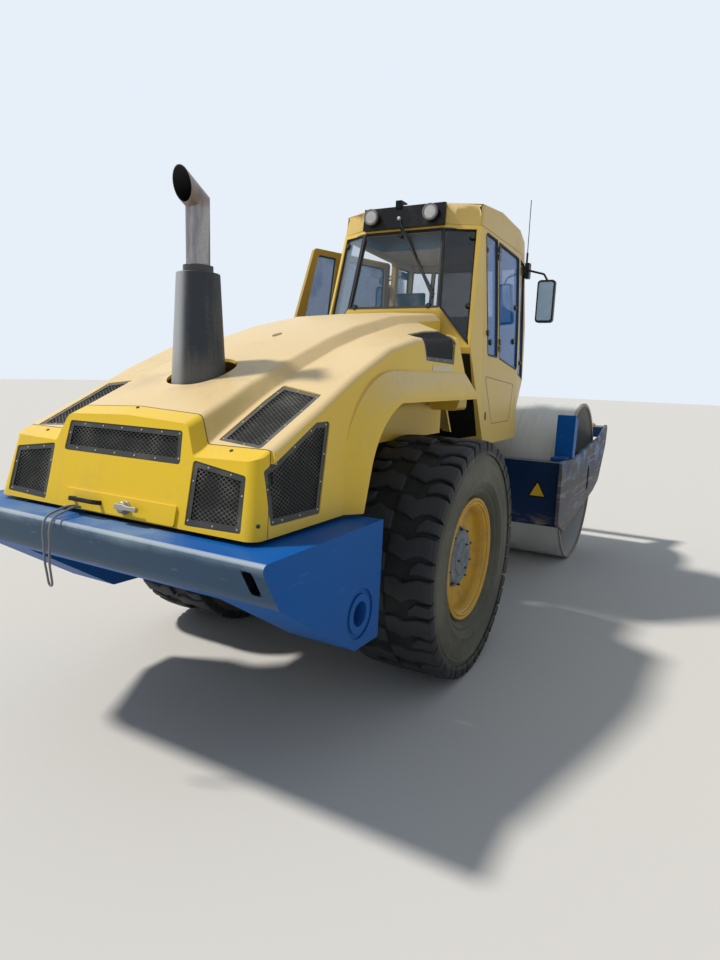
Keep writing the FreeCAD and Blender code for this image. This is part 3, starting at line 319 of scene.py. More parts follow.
# Rubber: black in the grooves, rubbed grey on the lugs' tops, brown dust on the side wall
def tyreRubber():
    f = Finish("tyre_rubber")
    cloud, grain = f.noise(5.0, 6.0, 0.65), f.noise(85.0, 5.0, 0.75)
    dx, dz = f.x - fromAxle, f.z - 0.717
    radius = (dx * dx + dz * dz).math("SQRT", dx * dx + dz * dz)
    tops = radius.rise(0.700, 0.709)
    wall = 1.0 - radius.rise(0.625, 0.665)
    colour = f.blend(grain * 0.5, (0.006, 0.007, 0.009), (0.018, 0.019, 0.021))
    film = (cloud * 0.7 + grain * 0.5).rise(0.46, 0.84)
    colour = f.blend(film * 0.42, colour, (0.085, 0.078, 0.066))
    colour = f.blend(tops * (0.25 + cloud * 0.5), colour, (0.050, 0.055, 0.062))
    smear = f.noise(2.4, 6.0, 0.6).rise(0.34, 0.66)
    colour = f.blend(wall * (0.46 + smear * 0.50), colour, (0.128, 0.124, 0.092))
    rings = (radius * 430.0).math("SINE", radius * 430.0) * wall * 0.2
    return f.surface(colour=colour, roughness=0.62 + film * 0.3, specular=0.3,
                     normal=f.bump(grain + cloud + rings, 0.35, 0.002))


def rimPaint():
    f = Finish("rim_paint")
    cloud, grain = f.noise(7.0, 6.0, 0.65), f.noise(90.0, 5.0, 0.7)
    colour = f.blend(cloud, (0.66, 0.38, 0.030), (0.52, 0.30, 0.04))
    film = (cloud * 0.6 + grain * 0.5).rise(0.50, 0.78)
    colour = f.blend(film * 0.55, colour, (0.26, 0.19, 0.10))
    chip = f.noise(60.0, 5.0, 0.8).rise(0.64, 0.69)
    colour = f.blend(chip * 0.8, colour, (0.10, 0.05, 0.025))
    return f.surface(colour=colour, roughness=0.45 + film * 0.35, specular=0.4,
                     normal=f.bump(grain, 0.25, 0.0015))


def hubPaint():
    f = Finish("hub_grey")
    cloud, grain = f.noise(9.0, 6.0, 0.65), f.noise(70.0, 5.0, 0.7)
    colour = f.blend(cloud.rise(0.35, 0.65), (0.085, 0.115, 0.155), (0.20, 0.22, 0.235))
    colour = f.blend(grain.rise(0.5, 0.7) * 0.6, colour, (0.17, 0.14, 0.10))
    return f.surface(colour=colour, roughness=0.5 + grain * 0.3, specular=0.4,
                     normal=f.bump(grain, 0.3, 0.002))


# Rolled steel: pale and smooth round the middle, brown at both ends
def bareSteel():
    f = Finish("bare_steel")
    cloud, grain = f.noise(2.5, 7.0, 0.6), f.noise(45.0, 6.0, 0.75)
    ring = f.noise(6.0, 6.0, 0.6, stretch=(0.5, 12.0, 0.5))
    colour = f.blend(cloud, (0.52, 0.52, 0.50), (0.68, 0.69, 0.67))
    colour = f.blend(ring.rise(0.5, 0.72) * 0.5, colour, (0.42, 0.40, 0.36))
    colour = f.blend((grain * 0.5 + cloud * 0.5).rise(0.55, 0.72) * 0.5, colour, (0.46, 0.41, 0.33))
    ends = f.y.math("ABSOLUTE", f.y).rise(1.035, 1.058)
    colour = f.blend(ends * (0.5 + grain * 0.5), colour, (0.16, 0.115, 0.075))
    return f.surface(colour=colour, roughness=0.45 + cloud * 0.25, metal=0.15, specular=0.5,
                     normal=f.bump(grain + ring, 0.12, 0.0015))


def mufflerSteel():
    f = Finish("muffler_steel")
    cloud, grain = f.noise(5.0, 6.0, 0.6), f.noise(70.0, 5.0, 0.7)
    streak = f.noise(4.0, 6.0, 0.65, stretch=(3.0, 3.0, 0.35))
    colour = f.blend(cloud, (0.020, 0.025, 0.033), (0.040, 0.046, 0.056))
    film = (streak * 0.9 + grain * 0.25).rise(0.54, 0.84)
    colour = f.blend(film * 0.5, colour, (0.20, 0.19, 0.17))
    # Painted highlight: the side toward the key light is made lighter
    nx, ny, _ = f.split(f.facing)
    left = (ny * 0.87 - nx * 0.49).rise(0.22, 0.62)
    colour = f.blend(left * (0.45 + streak * 0.5), colour, (0.52, 0.53, 0.56))
    low = (1.0 - f.z.rise(1.74, 1.90)) * 0.45
    colour = f.blend(low, colour, (0.20, 0.19, 0.165))
    return f.surface(colour=colour, roughness=0.45 + film * 0.35, metal=0.1, specular=0.3,
                     normal=f.bump(grain, 0.15, 0.0015))


# Bright pipe, tinted by heat and streaked
def pipeChrome():
    f = Finish("pipe_chrome")
    cloud, grain = f.noise(6.0, 6.0, 0.65), f.noise(90.0, 5.0, 0.7)
    streak = f.noise(5.0, 7.0, 0.7, stretch=(4.0, 4.0, 0.5))
    colour = f.blend(streak.rise(0.35, 0.7), (0.20, 0.19, 0.195), (0.42, 0.39, 0.38))
    colour = f.blend(f.z.rise(2.50, 2.68) * (0.25 + cloud * 0.6), colour, (0.24, 0.175, 0.13))
    bend = f.z.inside(2.545, 2.605, 0.03) * 0.55
    colour = f.blend(bend, colour, (0.15, 0.10, 0.075))
    film = (streak * 0.6 + grain * 0.5).rise(0.55, 0.8)
    colour = f.blend(film * 0.5, colour, (0.20, 0.17, 0.14))
    clamp = 1.0 - f.z.rise(2.276, 2.279)
    colour = f.blend(clamp, colour, (0.05, 0.045, 0.04))
    # Soot all over the bore of the slanted tip
    back = (-math.cos(math.radians(30.0)), math.sin(math.radians(30.0)))
    dx, dz = f.x - (fromAxle - 1.175), f.z - 2.566
    run = dx * back[0] + dz * back[1]
    ax, az = dx - run * back[0], dz - run * back[1]
    around = (ax * ax + az * az + f.y * f.y).math("SQRT", ax * ax + az * az + f.y * f.y)
    soot = (1.0 - around.rise(0.0545, 0.0553)) * run.rise(-0.02, 0.0)
    colour = f.blend(soot, colour, (0.004, 0.004, 0.004))
    metal = (0.7 - film * 0.4) * (1.0 - soot) * (1.0 - clamp * 0.7)
    return f.surface(colour=colour, roughness=0.34 + film * 0.4 + soot * 0.4, metal=metal,
                     normal=f.bump(grain, 0.1, 0.001))


def plainMetal(name, base, rough=0.3, metal=1.0):
    f = Finish(name)
    cloud, grain = f.noise(14.0, 5.0), f.noise(160.0, 3.0)
    colour = f.blend(cloud, base, tuple(c * 0.7 for c in base))
    return f.surface(colour=colour, roughness=cloud * 0.2 + rough, metal=metal,
                     normal=f.bump(grain, 0.08, 0.0006))


# Grille wire: dusty on the tail, dark in the vents beside the cab
def meshPaint():
    f = Finish("mesh_black")
    cloud = f.noise(6.0, 5.0)
    vent = f.z.rise(1.78, 1.82)
    colour = f.blend(cloud.rise(0.40, 0.75) * 0.8, (0.030, 0.031, 0.030), (0.19, 0.18, 0.15))
    colour = f.blend(vent, colour, (0.020, 0.022, 0.026))
    return f.surface(colour=colour, roughness=cloud * 0.2 + 0.45, specular=0.35)


def windowGlass():
    f = Finish("window_glass")
    cloud = f.noise(3.5, 6.0, 0.6)
    film = cloud.rise(0.50, 0.82)
    # Painted reflections and shade: the side panes sky blue, the rear panes to the left a pale reflection and to the
    # right dark for the shaded inside
    aside, along = f.y.math("ABSOLUTE", f.y), f.x - fromAxle
    side = aside.rise(0.576, 0.584) * along.rise(1.19, 1.21)
    rearFacet = (1.0 - along.rise(1.19, 1.21)) * (1.0 - side)
    dark = (0.0 - f.y).rise(0.352, 0.358) * rearFacet
    pale = f.y.rise(0.352, 0.358) * rearFacet
    colour = f.blend(film * 0.6, (0.10, 0.20, 0.31), (0.42, 0.47, 0.50))
    colour = f.blend(side, colour, (0.002, 0.17, 0.56))
    colour = f.blend(dark, colour, (0.004, 0.010, 0.020))
    colour = f.blend(pale, colour, (0.20, 0.29, 0.40))
    seen = film * 0.16 + 0.13 + side * 0.46 + dark * 0.60 + pale * 0.22
    return f.surface(colour=colour, roughness=film * 0.2 + 0.02, specular=0.5, alpha=seen,
                     coat=0.25, coatRoughness=0.02)


def lampGlass():
    f = Finish("lamp_glass")
    ribs = (f.y * 900.0).math("SINE", f.y * 900.0)
    cloud = f.noise(30.0, 4.0)
    colour = f.blend(cloud, (0.62, 0.60, 0.56), (0.36, 0.36, 0.36))
    return f.surface(colour=colour, roughness=cloud * 0.1 + 0.06, metal=0.35, coat=0.8, coatRoughness=0.03,
                     normal=f.bump(ribs, 0.35, 0.001))


def wovenFabric(name, base, weave=0.0022):
    f = Finish(name)
    count = 2.0 * math.pi / weave
    over = (f.y * count).math("SINE", f.y * count) * ((f.z + f.x) * count).math("SINE", (f.z + f.x) * count)
    cloud = f.noise(9.0, 5.0)
    colour = f.blend(over * 0.25 + cloud * 0.5, base, tuple(c * 1.9 + 0.01 for c in base))
    return f.surface(colour=colour, roughness=0.85, sheen=0.3, sheenRoughness=0.5,
                     normal=f.bump(over, 0.4, 0.0006))


finishes = {
    "yellow_paint": yellowPaint("yellow_paint", 0.15, 0.80, 0.16),
    "yellow_tail": yellowPaint("yellow_tail", 0.80, 1.35, 0.02),
    "yellow_cab": yellowPaint("yellow_cab", 0.20, 0.85, 0.42, 0.14),
    "yellow_roof": yellowPaint("yellow_roof", 0.20, 0.85, 0.50, 0.20),
    # The door's large dark share is painted shade
    "yellow_door": yellowPaint("yellow_door", 0.40, 1.10, 0.10, 0.62),
    "yellow_cab_rear": yellowPaint("yellow_cab_rear", 0.20, 0.85, 0.30, 0.06),
    "blue_paint": bluePaint(), "shaded_blue_paint": shadedBluePaint(),
    "visor_black": plainPlastic("visor_black", (0.0035, 0.004, 0.007), 0.5, 0.10, 0.12),
    "knob_black": plainPlastic("knob_black", (0.004, 0.004, 0.005), 0.4, 0.15),
    "worn_paint": wornPaint(), "dark_frame_paint": framePaint("dark_frame_paint", (0.016, 0.017, 0.020)),
    "black_paint": framePaint("black_paint", (0.008, 0.008, 0.009), 0.3),
    "engine_iron": framePaint("engine_iron", (0.035, 0.035, 0.035), 0.6),
    "muffler_steel": mufflerSteel(), "pipe_chrome": pipeChrome(), "bare_steel": bareSteel(), "rim_paint": rimPaint(),
    "tyre_rubber": tyreRubber(), "black_plastic": plainPlastic("black_plastic", (0.010, 0.011, 0.013)),
    "rubber_mount": plainPlastic("rubber_mount", (0.012, 0.012, 0.012), 0.7),
    "seal_rubber": plainPlastic("seal_rubber", (0.008, 0.008, 0.009), 0.55, 0.15),
    "screw_steel": plainMetal("screw_steel", (0.58, 0.55, 0.48), 0.4, 0.6),
    "rod_chrome": plainMetal("rod_chrome", (0.7, 0.7, 0.7), 0.12),
    "seat_fabric": wovenFabric("seat_fabric", (0.020, 0.021, 0.025)),
    "cord_fabric": wovenFabric("cord_fabric", (0.15, 0.15, 0.155)),
    "window_glass": windowGlass(), "lamp_glass": lampGlass(), "hub_grey": hubPaint(),
    "frame_grey": plainPlastic("frame_grey", (0.030, 0.030, 0.028), 0.42, 0.55),
    "mesh_black": meshPaint(),
    "shade_sheet_black": plainPlastic("shade_sheet_black", (0.004, 0.004, 0.004), 0.8, 0.1),
    "trim_grey": plainPlastic("trim_grey", (0.20, 0.20, 0.20), 0.5),
    "sign_yellow": plainPlastic("sign_yellow", (0.78, 0.50, 0.02), 0.4, 0.5),
    "decal_pale": plainPlastic("decal_pale", (0.62, 0.55, 0.36), 0.45, 0.3),
    "lamp_orange": plainPlastic("lamp_orange", (0.62, 0.36, 0.03), 0.3, 0.3),
    "black_gloss": plainPlastic("black_gloss", (0.005, 0.005, 0.007), 0.3, 0.2, 0.2),
    # The mirror faces are painted a pale sky blue: a painted reflection
    "mirror_painted_sky": plainMetal("mirror_painted_sky", (0.66, 0.86, 1.0), 0.05, 0.05),
    "lock_steel": plainMetal("lock_steel", (0.42, 0.40, 0.37), 0.35, 0.8),
    "yellow_dark": plainPlastic("yellow_dark", (0.30, 0.20, 0.05), 0.5, 0.2),
}
print("finishes made:", len(finishes))


# Pieces

def paintNode(node, finish):
    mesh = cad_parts[node].data
    mesh.materials.clear()
    mesh.materials.append(finishes[finish])


def piece(name, mesh, body, finish, replaced=(), smooth=None):
    made = bpy.data.objects.new(name, mesh)
    bpy.context.scene.collection.objects.link(made)
    mesh.materials.clear()
    mesh.materials.append(finishes[finish])
    if smooth is not None:
        shadeByAngle(mesh, smooth)
    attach(made, body)
    if replaced:
        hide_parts(*replaced)
    return made


def shadeByAngle(mesh, degrees):
    work = bmesh.new()
    work.from_mesh(mesh)
    for face in work.faces:
        face.smooth = True
    for edge in work.edges:
        if len(edge.link_faces) == 2:
            edge.smooth = edge.calc_face_angle(3.2) < math.radians(degrees)
        else:
            edge.smooth = False
    work.to_mesh(mesh)
    work.free()


def softEdges(made, width, segments=2, angle=34.0):
    rounding = made.modifiers.new("edges", "BEVEL")
    rounding.width, rounding.segments = width, segments
    rounding.limit_method, rounding.angle_limit = "ANGLE", math.radians(angle)
    rounding.harden_normals = True
    return made


# A node's own shape with its triangles joined, its flat faces merged and its edges slightly rounded
def roundedCopy(node, body, finish, edge=0.003, angle=34.0, segments=2, flatten=True):
    work = bmesh.new()
    work.from_mesh(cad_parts[node].data)
    bmesh.ops.remove_doubles(work, verts=work.verts, dist=0.00002)
    if flatten:
        bmesh.ops.dissolve_limit(work, angle_limit=math.radians(0.6), verts=work.verts, edges=work.edges,
                                 delimit={"NORMAL"})
    mesh = bpy.data.meshes.new(node + ".dressed")
    work.to_mesh(mesh)
    work.free()
    made = piece(node + ".dressed", mesh, body, finish, (node,), angle)
    if edge:
        softEdges(made, edge, segments, angle)
    return made


# A place given in millimetres from the rear axle's line
def spot(x, y, z):
    return Vector((x / 1000.0 + fromAxle, y / 1000.0, z / 1000.0))


# Parts of a mesh, each a list of points and a list of faces

def prism(loop, push):
    count = len(loop)
    points = [Vector(p) for p in loop] + [Vector(p) + Vector(push) for p in loop]
    faces = [tuple(reversed(range(count))), tuple(range(count, 2 * count))]
    faces += [(k, (k + 1) % count, (k + 1) % count + count, k + count) for k in range(count)]
    return points, faces


def block(x, y, z):
    low, high = spot(x[0], y[0], z[0]), spot(x[1], y[1], z[1])
    loop = [(low.x, low.y, low.z), (high.x, low.y, low.z), (high.x, high.y, low.z), (low.x, high.y, low.z)]
    return prism(loop, (0, 0, high.z - low.z))


# Faces between sections of some points each, round a closed ring or along an open run with both ends shut
def bandFaces(total, count, closed=True):
    faces = []
    for k in range(total if closed else total - 1):
        here, on = count * k, count * ((k + 1) % total)
        faces += [(here + j, here + (j + 1) % count, on + (j + 1) % count, on + j) for j in range(count)]
    if not closed:
        faces += [tuple(reversed(range(count))), tuple(range(count * (total - 1), count * total))]
    return faces


# A profile of (radius, distance along the axis) in millimetres, turned round the axis
def turned(profile, centre, axis, sides=48):
    axis = Vector(axis).normalized()
    across = axis.orthogonal().normalized()
    other = axis.cross(across)
    points, faces, count = [], [], len(profile)
    for k in range(sides):
        angle = 2.0 * math.pi * k / sides
        out = across * math.cos(angle) + other * math.sin(angle)
        points += [centre + axis * (along / 1000.0) + out * (radius / 1000.0) for radius, along in profile]
    closed = profile[0][0] > 0.0 or profile[-1][0] > 0.0
    for k in range(sides):
        for j in range(count if closed else count - 1):
            here, on = k * count, (k + 1) % sides * count
            faces.append((here + j, here + (j + 1) % count, on + (j + 1) % count, on + j))
    return points, faces


def tube(path, radius, sides=10):
    points = []
    up = (path[1] - path[0]).orthogonal().normalized()
    for k, here in enumerate(path):
        back, on = path[max(k - 1, 0)], path[min(k + 1, len(path) - 1)]
        along = (on - back).normalized()
        up = (up - along * up.dot(along)).normalized()
        side = along.cross(up)
        for j in range(sides):
            angle = 2.0 * math.pi * j / sides
            points.append(here + (up * math.cos(angle) + side * math.sin(angle)) * radius)
    return points, bandFaces(len(path), sides, False)


# A flat bar of some width and depth in millimetres, along a path
def flatBand(path, side, width, deep):
    across = Vector(side).normalized() * (width / 2000.0)
    points = []
    for k, here in enumerate(path):
        back, on = path[max(k - 1, 0)], path[min(k + 1, len(path) - 1)]
        out = (on - back).cross(across).normalized() * (deep / 2000.0)
        points += [here - across - out, here + across - out, here + across + out, here - across + out]
    return points, bandFaces(len(path), 4, False)


# Parts joined to one mesh whose faces all point outwards
def solid(name, parts):
    work = bmesh.new()
    for points, faces in parts:
        made = [work.verts.new(p) for p in points]
        for row in faces:
            work.faces.new([made[k] for k in row])
    bmesh.ops.remove_doubles(work, verts=work.verts, dist=0.000004)
    bmesh.ops.recalc_face_normals(work, faces=work.faces)
    mesh = bpy.data.meshes.new(name)
    work.to_mesh(mesh)
    work.free()
    return mesh


# Geometry Nodes: one unit set on every place, turned and sized by the places' attributes
def makeScatter():
    tree = bpy.data.node_groups.new("scatter", "GeometryNodeTree")
    sockets = {}
    for name, kind in (("Places", "Geometry"), ("Unit", "Object"), ("Finish", "Material"), ("Size", "Float")):
        sockets[name] = tree.interface.new_socket(name=name, in_out="INPUT", socket_type="NodeSocket" + kind)
    tree.interface.new_socket(name="Shape", in_out="OUTPUT", socket_type="NodeSocketGeometry")
    new, link = tree.nodes.new, tree.links.new
    given, result = new("NodeGroupInput"), new("NodeGroupOutput")
    unit = new("GeometryNodeObjectInfo")
    link(given.outputs["Unit"], unit.inputs["Object"])
    turn, size = new("GeometryNodeInputNamedAttribute"), new("GeometryNodeInputNamedAttribute")
    for node, name in ((turn, "turn"), (size, "size")):
        node.data_type = "FLOAT_VECTOR"
        node.inputs["Name"].default_value = name
    toTurn = new("FunctionNodeEulerToRotation")
    link(turn.outputs[0], toTurn.inputs[0])
    scale = new("ShaderNodeVectorMath")
    scale.operation = "SCALE"
    link(size.outputs[0], scale.inputs[0])
    link(given.outputs["Size"], scale.inputs["Scale"])
    each = new("GeometryNodeInstanceOnPoints")
    link(given.outputs["Places"], each.inputs["Points"])
    link(unit.outputs["Geometry"], each.inputs["Instance"])
    link(toTurn.outputs[0], each.inputs["Rotation"])
    link(scale.outputs[0], each.inputs["Scale"])
    real, coat = new("GeometryNodeRealizeInstances"), new("GeometryNodeSetMaterial")
    link(each.outputs[0], real.inputs[0])
    link(real.outputs[0], coat.inputs["Geometry"])
    link(given.outputs["Finish"], coat.inputs["Material"])
    link(coat.outputs[0], result.inputs[0])
    return tree, {name: socket.identifier for name, socket in sockets.items()}


scatterTree, scatterInputs = makeScatter()


# places: a list of (point, 3x3 turn, (size x, y, z))
def scattered(name, unit, places, body, finish, smooth=None, replaced=()):
    host = bpy.data.meshes.new(name + ".places")
    host.from_pydata([tuple(place[0]) for place in places], [], [])
    turn = host.attributes.new("turn", "FLOAT_VECTOR", "POINT")
    size = host.attributes.new("size", "FLOAT_VECTOR", "POINT")
    for k, (_, rotation, sizes) in enumerate(places):
        turn.data[k].vector = tuple(rotation.to_euler())
        size.data[k].vector = sizes
    carrier = bpy.data.objects.new(name + ".carrier", host)
    sample = bpy.data.objects.new(name + ".unit", unit)
    for thing in (carrier, sample):
        bpy.context.scene.collection.objects.link(thing)
    scatter = carrier.modifiers.new("scatter", "NODES")
    scatter.node_group = scatterTree
    scatter[scatterInputs["Unit"]] = sample
    scatter[scatterInputs["Finish"]] = finishes[finish]
    scatter[scatterInputs["Size"]] = 1.0
    ready = bpy.context.evaluated_depsgraph_get()
    ready.update()
    mesh = bpy.data.meshes.new_from_object(carrier.evaluated_get(ready), depsgraph=ready)
    mesh.name = name
    carrier.modifiers.remove(scatter)
    for thing in (carrier, sample):
        bpy.data.objects.remove(thing)
    print(name, "set on", len(places), "places,", len(mesh.polygons), "faces")
    return piece(name, mesh, body, finish, replaced, smooth)


# A turn whose third axis stands on a surface, with its first axis near a given way
def standing(normal, first):
    normal = Vector(normal).normalized()
    first = Vector(first)
    first = (first - normal * first.dot(normal)).normalized()
    return Matrix((first, normal.cross(first), normal)).transposed()


def headUnit(name, radius, height, sides=12):
    low, high = radius, radius * 0.72
    return solid(name, [turned([(0.0, -2.0), (low, -2.0), (low, height * 0.45), (high, height), (0.0, height)],
                               Vector((0, 0, 0)), (0, 0, 1), sides)])


# Outlines in a plane, points (a, b) in millimetres

def insetCorners(corners, gap):
    count = len(corners)
    turns = corners[1:] + corners[:1]
    area = sum(p[0] * q[1] - q[0] * p[1] for p, q in zip(corners, turns))
    way = 1.0 if area > 0 else -1.0
    sides = []
    for k in range(count):
        start, end = Vector(corners[k][:2]), Vector(corners[(k + 1) % count][:2])
        along = (end - start).normalized()
        sides.append((start + Vector((-along.y, along.x)) * gap * way, along))
    moved = []
    for k in range(count):
        (p, d), (q, e) = sides[k - 1], sides[k]
        cross = d.x * e.y - d.y * e.x
        if abs(cross) < 0.02:
            moved.append(tuple(q))
        else:
            share = ((q.x - p.x) * e.y - (q.y - p.y) * e.x) / cross
            moved.append(tuple(p + d * share))
    return moved


# The outline's points, its corners rounded, with the same count of points whatever the radius
def softLoop(corners, radius, spacing):
    count, arcs = len(corners), []
    for k in range(count):
        before, here, after = (Vector(corners[j % count][:2]) for j in (k - 1, k, k + 1))
        back, on = (before - here).normalized(), (after - here).normalized()
        half = max(back.angle(on) / 2.0, 0.05)
        run = min(radius / math.tan(half), 0.4 * min((before - here).length, (after - here).length))
        bend = run * math.tan(half)
        centre = here + (back + on).normalized() * (bend / math.sin(half))
        first, last = here + back * run - centre, here + on * run - centre
        arcs.append([centre + first.lerp(last, step / 4.0).normalized() * bend for step in range(5)])
    loop = []
    for k in range(count):
        loop += arcs[k]
        run = Vector(corners[(k + 1) % count][:2]) - Vector(corners[k][:2])
        steps = max(1, round(run.length / spacing))
        start, end = arcs[k][-1], arcs[(k + 1) % count][0]
        loop += [start.lerp(end, step / steps) for step in range(1, steps)]
    return loop


def holds(loop, a, b):
    found = False
    for k in range(len(loop)):
        (ax, ay), (bx, by) = loop[k - 1][:2], loop[k][:2]
        if (ay > b) != (by > b) and a < (bx - ax) * (b - ay) / (by - ay) + ax:
            found = not found
    return found


print("tools ready")


# Node, body, slot, finish, edge rounding in metres
dressed = [
    ("bumper", "rear_frame", "blue_paint", "blue_paint", 0.006),
    ("muffler", "rear_frame", "muffler_steel", "muffler_steel", 0.004),
    ("exhaust_pipe", "rear_frame", "pipe_chrome", "pipe_chrome", 0.0012),
    ("cab_roof", "rear_frame", "yellow_paint", "yellow_roof", 0.014),
    ("roof_visor", "rear_frame", "black_plastic", "visor_black", 0.003),
    ("cab_rear_wall", "rear_frame", "yellow_paint", "yellow_cab_rear", 0.005),
    ("cab_front_wall", "rear_frame", "yellow_paint", "yellow_cab", 0.005),
    ("cab_right_wall", "rear_frame", "yellow_paint", "yellow_cab", 0.005),
    ("cab_left_wall", "rear_frame", "yellow_paint", "yellow_cab", 0.005),
    ("door_frame", "door_left", "yellow_paint", "yellow_door", 0.004),
    ("hood_main", "hood", "yellow_paint", "yellow_paint", 0.006),
    ("hood_tail", "hood", "yellow_paint", "yellow_tail", 0.006),
    ("fuel_tank", "rear_frame", "blue_paint", "shaded_blue_paint", 0.008),
    ("access_steps", "rear_frame", "dark_frame_paint", "dark_frame_paint", 0.003),
    ("side_plates", "front_frame", "worn_paint", "worn_paint", 0.004),
    ("rear_beam", "front_frame", "blue_paint", "shaded_blue_paint", 0.006),
    ("nose_beam", "front_frame", "blue_paint", "shaded_blue_paint", 0.006),
    ("drum_guard", "front_frame", "blue_paint", "blue_paint", 0.004),
    ("drum_shell", "drum", "bare_steel", "bare_steel", 0.003),
    ("drum_heads", "drum", "dark_frame_paint", "dark_frame_paint", 0.002),
    ("steer_block", "steer_block", "dark_frame_paint", "dark_frame_paint", 0.003),
    ("chassis", "rear_frame", "dark_frame_paint", "dark_frame_paint", 0.003),
    ("mirrors", "rear_frame", "black_plastic", "black_plastic", 0.004),
    ("console", "rear_frame", "black_plastic", "black_plastic", 0.006),
]
for node, body, slot, finish, edge in dressed:
    roundedCopy(node, body, finish, edge)
print("dressed nodes:", len(dressed))

# Nodes whose own mesh is shown
shown = {
    "rear_axle": "dark_frame_paint", "engine": "engine_iron", "radiator": "black_paint",
    "bulkhead": "dark_frame_paint", "wheel_liners": "yellow_paint", "cab_floor": "dark_frame_paint",
    "cab_glass": "window_glass",
    "work_lamps": "black_plastic", "seat_stand": "black_plastic", "steering_wheel": "black_plastic",
    "cab_base": "dark_frame_paint", "cab_mounts": "rubber_mount", "antenna": "black_plastic", "wiper": "black_plastic",
    "door_glass": "window_glass", "drum_scraper": "bare_steel",
    "drum_mounts": "dark_frame_paint", "steer_barrel_left": "dark_frame_paint",
    "steer_barrel_right": "dark_frame_paint",
    "steer_rod_left": "rod_chrome", "steer_rod_right": "rod_chrome",
}
for node, finish in shown.items():
    paintNode(node, finish)


# Grilles: framed diamond mesh over a black sheet of painted shade, on the panels' own surface

grilles = {
    "frameWidth": 25.0, "proud": 0.0018, "deep": 0.005, "edgeGap": 0.9, "corner": 11.0, "innerCorner": 5.0,
    "spacing": 45.0, "closer": 0.86,
    "cellWide": 27.0, "cellHigh": 18.0, "strand": 2.7, "strandDeep": 2.2, "sunk": 0.0012, "behind": 0.013,
    "meshLap": 7.0, "longestCell": 0.06, "screwRadius": 4.2, "screwHigh": 2.6, "screwGap": 118.0, "screwSlack": 20.0,
    "sheetGap": 3.0, "sheetCorner": 9.0, "sheetSpacing": 70.0, "sheetStep": 60.0, "sheetInner": 30.0, "sheetDeep": 0.002,
    # Where a ray misses, the place is drawn in towards the outline's middle by these shares
    "shares": (0.0, 0.015, 0.03, 0.06, 0.1, 0.16, 0.25),
    # Plane the outline is drawn in, its corners, and both sides or the middle alone
    "rear": ("yz", [(440, 1166), (728, 1174), (712, 1390), (434, 1426)], (1, -1)),
    "top": ("xy", [(-1545, 456), (-1575, 700), (-1140, 700), (-1090, 456)], (1, -1)),
    "side": ("xz", [(-1632, 1196), (-1632, 1408), (-1290, 1580), (-1186, 1582), (-1298, 1190)], (1, -1)),
    "vent": ("fold", [(-70, 0), (434, 0), (268, 180), (240, 312), (-180, 312), (-216, 180)], (1, -1)),
    "tail": ("yz", [(-365, 1400), (365, 1400), (352, 1536), (-352, 1536)], (1,)),
}

# The vent folds over the shoulder: up to the fold its outline is drawn in plan, beyond it from the side.
# Its crease and its lower edge are each a height, a start and a slope along the hood
fold = {"at": 180.0, "beyond": 132.0, "inner": 590.0, "spread": 0.955, "middles": (90.0, 240.0),
        "crease": (1990.0, 216.0, 0.066), "low": (1876.0, 180.0, -0.0286)}

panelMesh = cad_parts["hood_grilles"].data
panelTree = BVHTree.FromPolygons([v.co.copy() for v in panelMesh.vertices],
                                 [tuple(p.vertices) for p in panelMesh.polygons])


# The ray that looks at a grille's surface from outside, for one place of its outline
def rayTo(plane, side, a, b):
    if plane == "yz":
        return spot(-2300, a * side, b), Vector((1, 0, 0))
    if plane == "xy":
        return spot(a, b * side, 2500), Vector((0, 0, -1))
    if plane == "xz":
        return spot(a, 1100 * side, b), Vector((0, -side, 0))
    if b <= fold["at"]:
        return spot(a, (fold["inner"] + b * fold["spread"]) * side, 2500), Vector((0, 0, -1))
    crease, low = (height + (a + start) * slope for height, start, slope in (fold["crease"], fold["low"]))
    return spot(a, 1100 * side, crease - (crease - low) * (b - fold["at"]) / fold["beyond"]), Vector((0, -side, 0))


# A point of an outline on the panel's surface, and the normal there
def panelPoint(plane, side, middle, a, b):
    if plane == "fold":
        middle = (middle[0], fold["middles"][0 if b <= fold["at"] else 1])
    start, way = rayTo(plane, side, a, b)
    for share in grilles["shares"]:
        near, ahead = rayTo(plane, side, a + (middle[0] - a) * share, b + (middle[1] - b) * share)
        hit, normal = panelTree.ray_cast(near, ahead)[:2]
        if hit is not None and abs(normal.dot(ahead)) > 0.22 and ahead == way:
            if normal.dot(ahead) > 0:
                normal = -normal
            return start + way * ((hit - start).dot(normal) / way.dot(normal)), normal
    return None, None


